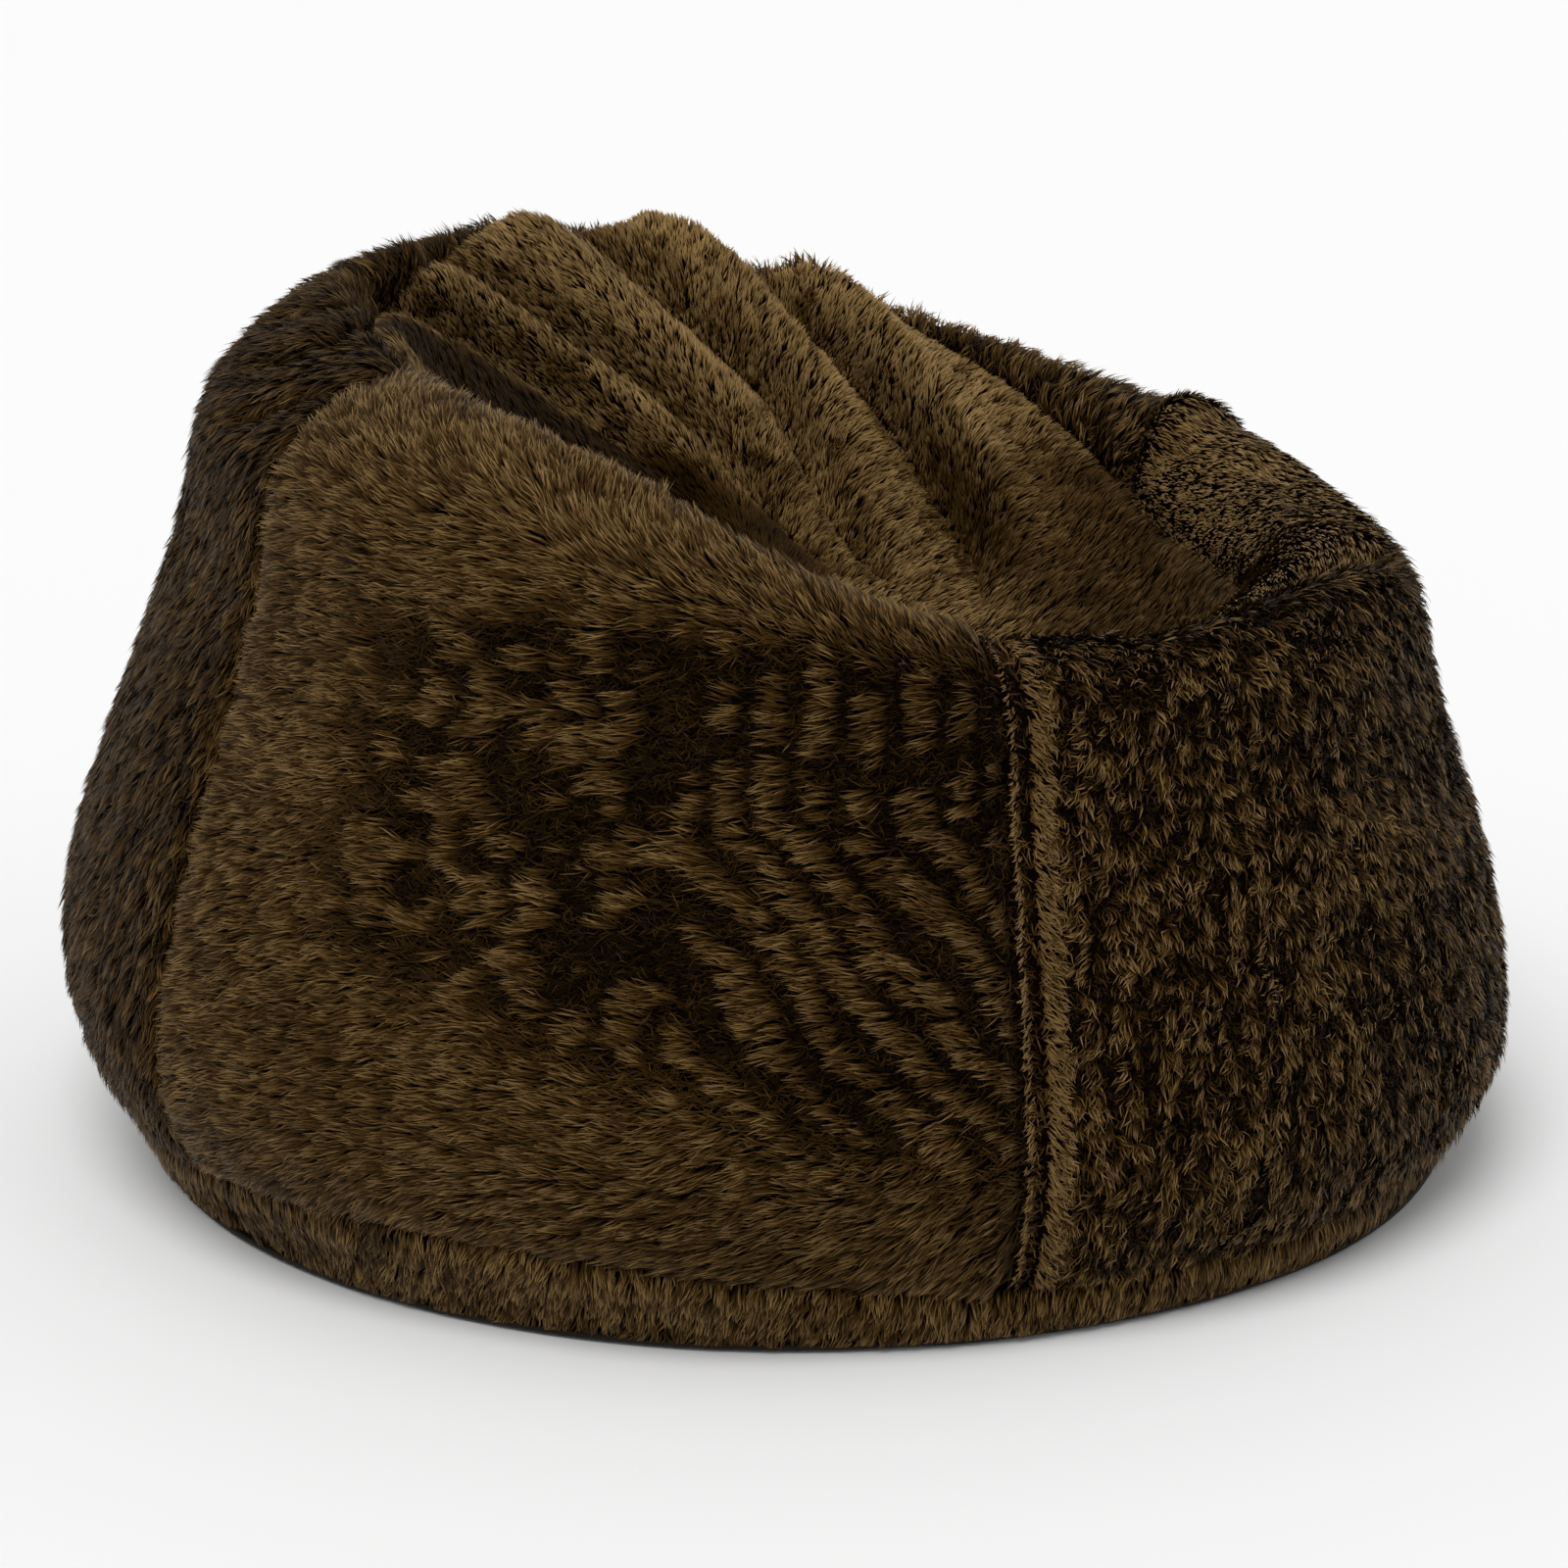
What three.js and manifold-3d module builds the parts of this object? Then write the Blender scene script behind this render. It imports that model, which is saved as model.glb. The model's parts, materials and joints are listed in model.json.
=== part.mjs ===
// Bean bag chair with a scooped seat, a raised back and two arms, covered in long-pile fabric.
//
// Millimetres, +Z up. The chair faces -Y, and +X is to the right of someone looking at its front.
// The origin is the middle of the base, on the floor.
//
// The outer shape is one smooth surface of two parameters. `turn` goes round the chair, in radians
// from the front by the right-hand side. `climb` goes up the wall and over the rim into the seat:
// 0 foot, 1 belly, 2 shoulder, 3 brow, 4 crest, 5 inner slope, 6 bottom of the seat.
// Every layer (cover, liner, filling) is that surface pushed inwards by its own depth.

import * as THREE from 'three';
import { mergeVertices } from 'three/addons/utils/BufferGeometryUtils.js';
import Module from 'manifold-3d';

const wasm = await Module();
wasm.setup();

// ---------------------------------------------------------------- driving dimensions

// Radius and height of each ring, one value every 45 degrees, starting at the front.
const RINGS = {
  footRadius: [415, 435, 435, 410, 400, 410, 415, 410],
  bellyRadius: [455, 475, 475, 465, 460, 475, 470, 460],
  bellyHeight: [110, 90, 80, 110, 120, 130, 130, 120],
  shoulderRadius: [425, 430, 390, 375, 375, 396, 394, 412],
  shoulderHeight: [320, 320, 340, 370, 400, 400, 400, 380],
  crestRadius: [370, 350, 300, 300, 280, 275, 265, 315],
  crestHeight: [430, 425, 440, 470, 545, 555, 545, 525],
  innerRadius: [230, 220, 200, 190, 170, 170, 180, 200],
  innerHeight: [330, 330, 350, 370, 420, 420, 400, 380],
};
const BROW_SHARE = 0.74; // how square the shoulder is: 0.5 would be a straight slope
const SEAT_BOTTOM = new THREE.Vector3(30, -60, 270);
const CREST_CLIMB = 4;
const POLE_CLIMB = 6;

// Seams. The seat panel's edge and the base band's upper edge, as climb every 45 degrees.
const SEAT_EDGE = [4.4, 4.5, 4.62, 4.15, 3.6, 4.15, 4.1, 4.2];
const BAND_EDGE = [0.33, 0.39, 0.4, 0.4, 0.4, 0.4, 0.4, 0.57];
const BAND_FOOT = 0.06;
const FRONT_SEAM_TURN = 0;
const RIGHT_SEAM_TURN = 100;
const BACK_SEAM_TURN = 180;
const LEFT_SEAM_TURN = 284;
const SEAM_GAP_TURN = 0.002; // radians left free on each side of an upright seam
const SEAM_GAP_CLIMB = 0.004; // climb left free on each side of a level seam

// Layers, as depth below the tips of the pile.
const COVER_THICKNESS = 12;
const LINER_DEPTH = 18;
const LINER_THICKNESS = 1.5;
const FILL_DEPTH = 26;

// Base of the cover, base of the liner, and the floor of the filling.
const BASE_THICKNESS = 4;
const BASE_OVERHANG = 1;
const LINER_BASE_HEIGHT = 11;
const LINER_BASE_THICKNESS = 2;
const LINER_BASE_INSET = 10;
const LINER_SIDE_HEIGHT = 13.5;
const LINER_SEAT_EDGE = 4.6;
const FILL_HEIGHT = 17;

// The two straight zips, both along X. A zip hangs in a slot of the panel that it closes.
const COVER_ZIP = { middleY: 0, halfLength: 255, panelTop: BASE_THICKNESS };
const LINER_ZIP = { middleY: 60, halfLength: 200, panelTop: LINER_BASE_HEIGHT + LINER_BASE_THICKNESS };
const SLOT_HALF_WIDTH = 7;
const SLOT_END_ROOM = 6;
const TAPE_INNER_EDGE = 2;
const TAPE_OUTER_EDGE = 20;
const TAPE_END_ROOM = 12;
const COIL_INNER_EDGE = 0.7;
const COIL_OUTER_EDGE = 3;
const SLIDER_LENGTH = 13;
const SLIDER_WIDTH = 9;
const TAPE_RISE = 0.4; // gap between the tape and the top of the panel that it is sewn over
const TAPE_THICKNESS = 0.8;
const COIL_RISE = 0.1;
const COIL_THICKNESS = 1.7;
const STOP_GAP = 0.5;
const STOP_LENGTH = 3;
const STOP_DROP = 0.4;
const SLIDER_PLATE = 1.2;
const SLIDER_LOWER_DROP = 3.2; // how far the slider's lower plate starts below the top of its panel
const SLIDER_UPPER_RISE = 1.6;
const SLIDER_END_ROOM = 1;

// The flap over the cover's zip, and the label beside it.
const GUARD_END_ROOM = 20;
const GUARD_HALF_WIDTH = 28;
const GUARD_BOTTOM = 8;
const GUARD_THICKNESS = 1;
const LABEL_LEFT = 190;
const LABEL_WIDTH = 40;
const LABEL_FRONT = 24;
const LABEL_LENGTH = 50;
const LABEL_BOTTOM = 4.4;
const LABEL_THICKNESS = 0.6;
const SLIDER_POST_WIDTH = 0.7;
const SLIDER_POST_LENGTH = 4;

// Mesh density.
const COLUMN_ANGLE = 7.5; // degrees
const SIDE_ROWS = 16;
const BAND_ROWS = 2;
const SEAT_RINGS = 6;
const LINER_COLUMNS = 36;
const LINER_ROWS = 13;
const LINER_RINGS = 6;
const FILL_ROWS = 19;

// ---------------------------------------------------------------- colours and finishes

const FUR_BROWN = { color: 0x2b1c0e, roughness: 0.9, metalness: 0 };
const FUR_SEAT = { color: 0x3c2e1b, roughness: 0.9, metalness: 0 };
const WOVEN_DARK = { color: 0x16110c, roughness: 0.95, metalness: 0 };
const ZIP_NYLON = { color: 0x1b140e, roughness: 0.5, metalness: 0 };
const ZIP_METAL = { color: 0x4a4640, roughness: 0.4, metalness: 0.9 };
const LINER_CLOTH = { color: 0xcfcac0, roughness: 0.9, metalness: 0 };
const LABEL_CLOTH = { color: 0xe8e4dc, roughness: 0.8, metalness: 0 };
const BEADS_WHITE = { color: 0xf2f2ee, roughness: 0.8, metalness: 0 };

// ---------------------------------------------------------------- the outer surface

const radians = (degrees) => (degrees * Math.PI) / 180;

// Smooth closed curve through values that stand at equal turns.
function around(values, turn) {
  const place = (((turn / (2 * Math.PI)) * values.length) % values.length + values.length) % values.length;
  const at = Math.floor(place);
  const share = place - at;
  const value = (step) => values[(at + step + values.length) % values.length];
  const [before, from, to, after] = [value(-1), value(0), value(1), value(2)];
  const slope = -before + to;
  const bend = 2 * before - 5 * from + 4 * to - after;
  const twist = -before + 3 * from - 3 * to + after;
  return 0.5 * (2 * from + slope * share + bend * share ** 2 + twist * share ** 3);
}

// The upright section at one turn: radius and height of its seven points.
function sectionPoints(turn) {
  const ring = Object.fromEntries(Object.entries(RINGS).map(([name, values]) => [name, around(values, turn)]));
  const browRadius = THREE.MathUtils.lerp(ring.crestRadius, ring.shoulderRadius, BROW_SHARE);
  const browHeight = THREE.MathUtils.lerp(ring.shoulderHeight, ring.crestHeight, BROW_SHARE);
  return [
    new THREE.Vector2(ring.footRadius, 0),
    new THREE.Vector2(ring.bellyRadius, ring.bellyHeight),
    new THREE.Vector2(ring.shoulderRadius, ring.shoulderHeight),
    new THREE.Vector2(browRadius, browHeight),
    new THREE.Vector2(ring.crestRadius, ring.crestHeight),
    new THREE.Vector2(ring.innerRadius, ring.innerHeight),
    new THREE.Vector2(0, SEAT_BOTTOM.z),
  ];
}

// Centripetal Catmull-Rom curve through the section's points, mirrored at the axis.
function sectionAt(turn, climb) {
  const points = sectionPoints(turn);
  const last = points.length - 1;
  const before = points[0].clone().multiplyScalar(2).sub(points[1]);
  const after = new THREE.Vector2(-points[last - 1].x, points[last - 1].y);
  const all = [before, ...points, after];
  const at = Math.min(Math.floor(climb), last - 1);
  const [p0, p1, p2, p3] = all.slice(at, at + 4);
  const knot1 = Math.sqrt(p0.distanceTo(p1));
  const knot2 = knot1 + Math.sqrt(p1.distanceTo(p2));
  const knot3 = knot2 + Math.sqrt(p2.distanceTo(p3));
  const knot = THREE.MathUtils.lerp(knot1, knot2, climb - at);
  const blend = (a, b, from, to) => a.clone().lerp(b, (knot - from) / (to - from));
  const a1 = blend(p0, p1, 0, knot1);
  const a2 = blend(p1, p2, knot1, knot2);
  const a3 = blend(p2, p3, knot2, knot3);
  return blend(blend(a1, a2, 0, knot2), blend(a2, a3, knot1, knot3), knot1, knot2);
}

// A point of the outer surface. Past the crest its sections lean towards the seat's bottom.
function outerPoint(turn, climb) {
  const section = sectionAt(turn, climb);
  const lean = THREE.MathUtils.smoothstep(climb, CREST_CLIMB, POLE_CLIMB);
  return new THREE.Vector3(
    SEAT_BOTTOM.x * lean + section.x * Math.sin(turn),
    SEAT_BOTTOM.y * lean - section.x * Math.cos(turn),
    section.y,
  );
}

// The outward normal, from the surface's two slopes. At the seat's bottom it points straight up.
function outwardNormal(turn, climb) {
  if (climb > POLE_CLIMB - 1e-6) return new THREE.Vector3(0, 0, 1);
  const step = 1e-4;
  const alongTurn = outerPoint(turn + step, climb).sub(outerPoint(turn - step, climb));
  const high = Math.min(climb + step, POLE_CLIMB);
  const low = Math.max(climb - step, 0);
  const alongClimb = outerPoint(turn, high).sub(outerPoint(turn, low));
  return alongTurn.cross(alongClimb).normalize();
}

function layerPoint(turn, climb, depth) {
  return outerPoint(turn, climb).addScaledVector(outwardNormal(turn, climb), -depth);
}

// The climb at which a layer passes a height, on its way up from the foot.
function climbAtHeight(turn, depth, height) {
  let low = 0;
  let high = 1;
  for (let halving = 0; halving < 30; halving += 1) {
    const middle = (low + high) / 2;
    if (layerPoint(turn, middle, depth).z < height) low = middle;
    else high = middle;
  }
  return high;
}

// ---------------------------------------------------------------- solids from grids of points

// Collects rows of points and the faces between them, then becomes a geometry.
class SolidBuilder {
  constructor() {
    this.positions = [];
    this.faces = [];
  }

  addPoint(point) {
    this.positions.push(point.x, point.y, point.z);
    return this.positions.length / 3 - 1;
  }

  addRows(rows) {
    return rows.map((row) => row.map((point) => this.addPoint(point)));
  }

  addQuad(a, b, c, d) {
    this.faces.push(a, b, c, a, c, d);
  }

  // The faces between two rows of equal length. A closed pair joins its last points to its first.
  addStrip(lower, upper, closed) {
    const count = closed ? lower.length : lower.length - 1;
    for (let column = 0; column < count; column += 1) {
      const next = (column + 1) % lower.length;
      this.addQuad(lower[column], lower[next], upper[next], upper[column]);
    }
  }

  // A cut edge between two layers, split along the diagonals that its neighbour's edge has too.
  addCutEdge(outer, inner, closed, facesDown) {
    const count = closed ? outer.length : outer.length - 1;
    for (let place = 0; place < count; place += 1) {
      const next = (place + 1) % outer.length;
      if (facesDown) this.addQuad(outer[place], inner[place], inner[next], outer[next]);
      else this.addQuad(outer[place], outer[next], inner[next], inner[place]);
    }
  }

  addFan(row, apex) {
    row.forEach((index, column) => this.faces.push(index, row[(column + 1) % row.length], apex));
  }

  geometry() {
    const geometry = new THREE.BufferGeometry();
    geometry.setAttribute('position', new THREE.Float32BufferAttribute(this.positions, 3));
    geometry.setIndex(this.faces);
    return geometry;
  }
}

const reversed = (row) => [...row].reverse();

// Turns of a panel's columns, evenly between its two upright seams, in degrees in and radians out.
function panelTurns(fromDegrees, toDegrees, columns) {
  const list = [];
  for (let column = 0; column <= columns; column += 1) {
    list.push(radians(fromDegrees + ((toDegrees - fromDegrees) * column) / columns));
  }
  return list;
}

// A sewn panel between two upright seams: outer face, inner face and the four cut edges.
function panelGeometry({ turns, climbFrom, climbTo, rows, depth, thickness }) {
  const inset = turns.map((turn, column) => {
    if (column === 0) return turn + SEAM_GAP_TURN;
    if (column === turns.length - 1) return turn - SEAM_GAP_TURN;
    return turn;
  });
  const layer = (layerDepth) => {
    const grid = [];
    for (let row = 0; row <= rows; row += 1) {
      grid.push(inset.map((turn, column) => {
        const low = climbFrom(turns[column]) + SEAM_GAP_CLIMB;
        const high = climbTo(turns[column]) - SEAM_GAP_CLIMB;
        return layerPoint(turn, THREE.MathUtils.lerp(low, high, row / rows), layerDepth);
      }));
    }
    return grid;
  };
  const solid = new SolidBuilder();
  const outer = solid.addRows(layer(depth));
  const inner = solid.addRows(layer(depth + thickness));
  for (let row = 0; row < rows; row += 1) {
    solid.addStrip(outer[row], outer[row + 1], false);
    solid.addStrip(reversed(inner[row]), reversed(inner[row + 1]), false);
  }
  const lastColumn = turns.length - 1;
  const column = (grid, index) => grid.map((row) => row[index]);
  solid.addCutEdge(outer[0], inner[0], false, true);
  solid.addCutEdge(outer[rows], inner[rows], false, false);
  solid.addCutEdge(column(outer, 0), column(inner, 0), false, false);
  solid.addCutEdge(column(outer, lastColumn), column(inner, lastColumn), false, true);
  return solid.geometry();
}

// A dished round panel: rings of points from its edge to the seat's bottom, inside and out.
function seatGeometry({ turns, climbFrom, rings, depth, thickness }) {
  const layer = (layerDepth) => {
    const grid = [];
    for (let ring = 0; ring < rings; ring += 1) {
      grid.push(turns.map((turn) => {
        const climb = THREE.MathUtils.lerp(climbFrom(turn) + SEAM_GAP_CLIMB, POLE_CLIMB, ring / rings);
        return layerPoint(turn, climb, layerDepth);
      }));
    }
    return grid;
  };
  const solid = new SolidBuilder();
  const outer = solid.addRows(layer(depth));
  const inner = solid.addRows(layer(depth + thickness)).map(reversed);
  for (let ring = 0; ring < rings - 1; ring += 1) {
    solid.addStrip(outer[ring], outer[ring + 1], true);
    solid.addStrip(inner[ring], inner[ring + 1], true);
  }
  solid.addFan(outer[rings - 1], solid.addPoint(layerPoint(0, POLE_CLIMB, depth)));
  solid.addFan(inner[rings - 1], solid.addPoint(layerPoint(0, POLE_CLIMB, depth + thickness)));
  solid.addCutEdge(outer[0], reversed(inner[0]), true, true);
  return solid.geometry();
}

// The filling: a layer closed by a flat floor.
function fillGeometry({ turns, rows, depth, height }) {
  const grid = [];
  for (let row = 0; row < rows; row += 1) {
    grid.push(turns.map((turn) => {
      const low = climbAtHeight(turn, depth, height);
      return layerPoint(turn, THREE.MathUtils.lerp(low, POLE_CLIMB, row / rows), depth);
    }));
  }
  const solid = new SolidBuilder();
  const wall = solid.addRows(grid);
  for (let row = 0; row < rows - 1; row += 1) solid.addStrip(wall[row], wall[row + 1], true);
  solid.addFan(wall[rows - 1], solid.addPoint(layerPoint(0, POLE_CLIMB, depth)));
  solid.addFan(reversed(wall[0]), solid.addPoint(new THREE.Vector3(0, 0, height)));
  return solid.geometry();
}

// A flat plate from an outline in X and Y, between two heights.
function plateGeometry(outline, bottom, thickness) {
  const shape = new THREE.Shape(outline);
  const geometry = new THREE.ExtrudeGeometry(shape, { depth: thickness, bevelEnabled: false });
  return geometry.translate(0, 0, bottom);
}

function boxGeometry(xFrom, xTo, yFrom, yTo, zFrom, zTo) {
  const geometry = new THREE.BoxGeometry(xTo - xFrom, yTo - yFrom, zTo - zFrom);
  return geometry.translate((xFrom + xTo) / 2, (yFrom + yTo) / 2, (zFrom + zTo) / 2);
}

// Half of a base, cut along a zip that runs along X: side -1 is the front half, +1 the rear half.
function baseHalfOutline(radiusAt, zip, side) {
  const seamGap = 0.5;
  const slotEnd = zip.halfLength + SLOT_END_ROOM;
  const chord = zip.middleY + side * seamGap;
  const slot = zip.middleY + side * SLOT_HALF_WIDTH;
  const rim = [];
  for (let degrees = 0; degrees < 360; degrees += COLUMN_ANGLE / 2) {
    const turn = radians(degrees) + (side < 0 ? -Math.PI : 0);
    const radius = radiusAt(turn);
    const point = new THREE.Vector2(radius * Math.sin(turn), -radius * Math.cos(turn));
    if ((point.y - chord) * side > 1) rim.push(point);
  }
  const first = rim[0];
  const last = rim[rim.length - 1];
  const end = Math.sign(last.x);
  return [
    new THREE.Vector2(first.x, chord),
    ...rim,
    new THREE.Vector2(last.x, chord),
    new THREE.Vector2(end * slotEnd, chord),
    new THREE.Vector2(end * slotEnd, slot),
    new THREE.Vector2(-end * slotEnd, slot),
    new THREE.Vector2(-end * slotEnd, chord),
  ];
}

// ---------------------------------------------------------------- joining with manifold

function toManifold(geometry) {
  const bare = geometry.clone();
  bare.deleteAttribute('normal');
  bare.deleteAttribute('uv');
  const merged = mergeVertices(bare, 1e-4);
  return new wasm.Manifold(new wasm.Mesh({
    numProp: 3,
    vertProperties: new Float32Array(merged.attributes.position.array),
    triVerts: new Uint32Array(merged.index.array),
  }));
}

function fromManifold(manifold) {
  const mesh = manifold.getMesh();
  const geometry = new THREE.BufferGeometry();
  geometry.setAttribute('position', new THREE.Float32BufferAttribute(mesh.vertProperties, 3));
  geometry.setIndex(Array.from(mesh.triVerts));
  return geometry;
}

// ---------------------------------------------------------------- the object

const chair = new THREE.Group();

function addPiece(name, geometry, finish, parent = chair) {
  const mesh = new THREE.Mesh(geometry, new THREE.MeshStandardMaterial(finish));
  mesh.name = name;
  parent.add(mesh);
  return mesh;
}

const seatEdge = (turn) => around(SEAT_EDGE, turn);
const bandEdge = (turn) => around(BAND_EDGE, turn);

// The cover's four side panels and the seat panel that they are sewn to.
function addCover() {
  const panels = [
    ['front_right_panel', FRONT_SEAM_TURN, RIGHT_SEAM_TURN],
    ['back_right_panel', RIGHT_SEAM_TURN, BACK_SEAM_TURN],
    ['back_left_panel', BACK_SEAM_TURN, LEFT_SEAM_TURN],
    ['front_left_panel', LEFT_SEAM_TURN, FRONT_SEAM_TURN + 360],
  ];
  const allTurns = [];
  for (const [name, from, to] of panels) {
    const turns = panelTurns(from, to, Math.round((to - from) / COLUMN_ANGLE));
    allTurns.push(...turns.slice(0, -1));
    addPiece(name, panelGeometry({
      turns,
      climbFrom: bandEdge,
      climbTo: seatEdge,
      rows: SIDE_ROWS,
      depth: 0,
      thickness: COVER_THICKNESS,
    }), FUR_BROWN);
  }
  addPiece('seat_panel', seatGeometry({
    turns: allTurns,
    climbFrom: seatEdge,
    rings: SEAT_RINGS,
    depth: 0,
    thickness: COVER_THICKNESS,
  }), FUR_SEAT);
  return allTurns;
}

// The strip of pile round the foot, in two lengths that meet at the sides.
function addBand() {
  for (const [name, from, to] of [['base_band_front', -90, 90], ['base_band_rear', 90, 270]]) {
    addPiece(name, panelGeometry({
      turns: panelTurns(from, to, Math.round((to - from) / COLUMN_ANGLE)),
      climbFrom: () => BAND_FOOT,
      climbTo: bandEdge,
      rows: BAND_ROWS,
      depth: 0,
      thickness: COVER_THICKNESS,
    }), FUR_BROWN);
  }
}

function addBase() {
  const radiusAt = (turn) => around(RINGS.footRadius, turn) + BASE_OVERHANG;
  for (const [name, side] of [['base_panel_front', -1], ['base_panel_rear', 1]]) {
    addPiece(name, plateGeometry(baseHalfOutline(radiusAt, COVER_ZIP, side), 0, BASE_THICKNESS), WOVEN_DARK);
  }
}

// The slider's two plates, wider at the nose that parts the coils, and the post that joins them.
function sliderGeometry(zip) {
  const half = SLIDER_LENGTH / 2;
  const nose = SLIDER_WIDTH / 2;
  const tail = nose * 0.7;
  const outline = [
    new THREE.Vector2(-half, -nose * 0.6),
    new THREE.Vector2(-half * 0.7, -nose),
    new THREE.Vector2(half * 0.2, -nose),
    new THREE.Vector2(half, -tail),
    new THREE.Vector2(half, tail),
    new THREE.Vector2(half * 0.2, nose),
    new THREE.Vector2(-half * 0.7, nose),
    new THREE.Vector2(-half, nose * 0.6),
  ];
  const lowerBottom = zip.panelTop - SLIDER_LOWER_DROP;
  const upperBottom = zip.panelTop + SLIDER_UPPER_RISE;
  const lower = plateGeometry(outline, lowerBottom, SLIDER_PLATE);
  const upper = plateGeometry(outline, upperBottom, SLIDER_PLATE);
  const post = boxGeometry(
    -half,
    -half + SLIDER_POST_LENGTH,
    -SLIDER_POST_WIDTH / 2,
    SLIDER_POST_WIDTH / 2,
    lowerBottom + SLIDER_PLATE / 2,
    upperBottom + SLIDER_PLATE / 2,
  );
  return fromManifold(toManifold(lower).add(toManifold(upper)).add(toManifold(post)));
}

// A closed zip: two tapes, two coils, an end stop at each end, and the slider at the right-hand end.
function addZip(prefix, zip) {
  const tapeEnd = zip.halfLength + TAPE_END_ROOM;
  const tapeBottom = zip.panelTop + TAPE_RISE;
  const tapeTop = tapeBottom + TAPE_THICKNESS;
  const coilTop = zip.panelTop + COIL_RISE;
  const coilBottom = coilTop - COIL_THICKNESS;
  for (const [end, side] of [['front', -1], ['rear', 1]]) {
    const edge = (distance) => zip.middleY + side * distance;
    const strip = (halfLength, near, far, bottom, top) => boxGeometry(
      -halfLength,
      halfLength,
      Math.min(edge(near), edge(far)),
      Math.max(edge(near), edge(far)),
      bottom,
      top,
    );
    const tape = strip(tapeEnd, TAPE_INNER_EDGE, TAPE_OUTER_EDGE, tapeBottom, tapeTop);
    const coil = strip(zip.halfLength, COIL_INNER_EDGE, COIL_OUTER_EDGE, coilBottom, coilTop);
    addPiece(`${prefix}_tape_${end}`, tape, ZIP_NYLON);
    addPiece(`${prefix}_coil_${end}`, coil, ZIP_NYLON);
  }
  for (const [end, side] of [['left', -1], ['right', 1]]) {
    const near = side * (zip.halfLength + STOP_GAP);
    const far = near + side * STOP_LENGTH;
    addPiece(`${prefix}_stop_${end}`, boxGeometry(
      Math.min(near, far),
      Math.max(near, far),
      zip.middleY - COIL_OUTER_EDGE,
      zip.middleY + COIL_OUTER_EDGE,
      coilBottom - STOP_DROP,
      coilTop,
    ), ZIP_METAL);
  }
  const slider = new THREE.Group();
  slider.position.set(zip.halfLength - SLIDER_LENGTH / 2 - SLIDER_END_ROOM, zip.middleY, 0);
  chair.add(slider);
  addPiece(`${prefix}_slider`, sliderGeometry(zip), ZIP_METAL, slider);
}

// The flap that keeps the liner off the cover's zip, and the blank label sewn in beside it.
function addGuardAndLabel() {
  const guardEnd = COVER_ZIP.halfLength + GUARD_END_ROOM;
  const guardTop = GUARD_BOTTOM + GUARD_THICKNESS;
  addPiece('zip_guard', boxGeometry(
    -guardEnd,
    guardEnd,
    -GUARD_HALF_WIDTH,
    GUARD_HALF_WIDTH,
    GUARD_BOTTOM,
    guardTop,
  ), WOVEN_DARK);
  addPiece('care_label', boxGeometry(
    LABEL_LEFT,
    LABEL_LEFT + LABEL_WIDTH,
    LABEL_FRONT,
    LABEL_FRONT + LABEL_LENGTH,
    LABEL_BOTTOM,
    LABEL_BOTTOM + LABEL_THICKNESS,
  ), LABEL_CLOTH);
}

// The inner bag that holds the beads: side in two halves, seat, and a base with a zip of its own.
function addLiner() {
  const sideFoot = (turn) => climbAtHeight(turn, LINER_DEPTH, LINER_SIDE_HEIGHT);
  const halves = [['liner_front', -90, 90], ['liner_rear', 90, 270]];
  for (const [name, from, to] of halves) {
    addPiece(name, panelGeometry({
      turns: panelTurns(from, to, LINER_COLUMNS / 2),
      climbFrom: sideFoot,
      climbTo: () => LINER_SEAT_EDGE,
      rows: LINER_ROWS,
      depth: LINER_DEPTH,
      thickness: LINER_THICKNESS,
    }), LINER_CLOTH);
  }
  addPiece('liner_seat', seatGeometry({
    turns: panelTurns(-90, 270, LINER_COLUMNS).slice(0, -1),
    climbFrom: () => LINER_SEAT_EDGE,
    rings: LINER_RINGS,
    depth: LINER_DEPTH,
    thickness: LINER_THICKNESS,
  }), LINER_CLOTH);
  const radiusAt = (turn) => around(RINGS.footRadius, turn) - LINER_BASE_INSET;
  for (const [name, side] of [['liner_base_front', -1], ['liner_base_rear', 1]]) {
    const outline = baseHalfOutline(radiusAt, LINER_ZIP, side);
    addPiece(name, plateGeometry(outline, LINER_BASE_HEIGHT, LINER_BASE_THICKNESS), LINER_CLOTH);
  }
}

function addFill() {
  addPiece('bead_fill', fillGeometry({
    turns: panelTurns(-90, 270, LINER_COLUMNS).slice(0, -1),
    rows: FILL_ROWS,
    depth: FILL_DEPTH,
    height: FILL_HEIGHT,
  }), BEADS_WHITE);
}

addCover();
addBand();
addBase();
addZip('zip', COVER_ZIP);
addGuardAndLabel();
addLiner();
addZip('liner_zip', LINER_ZIP);
addFill();

export default chair;
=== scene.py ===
"""Bean bag chair: panels of long pile sewn over a liner full of beads, on a zipped woven base."""

import json
import math
from typing import Callable, NamedTuple

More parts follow.
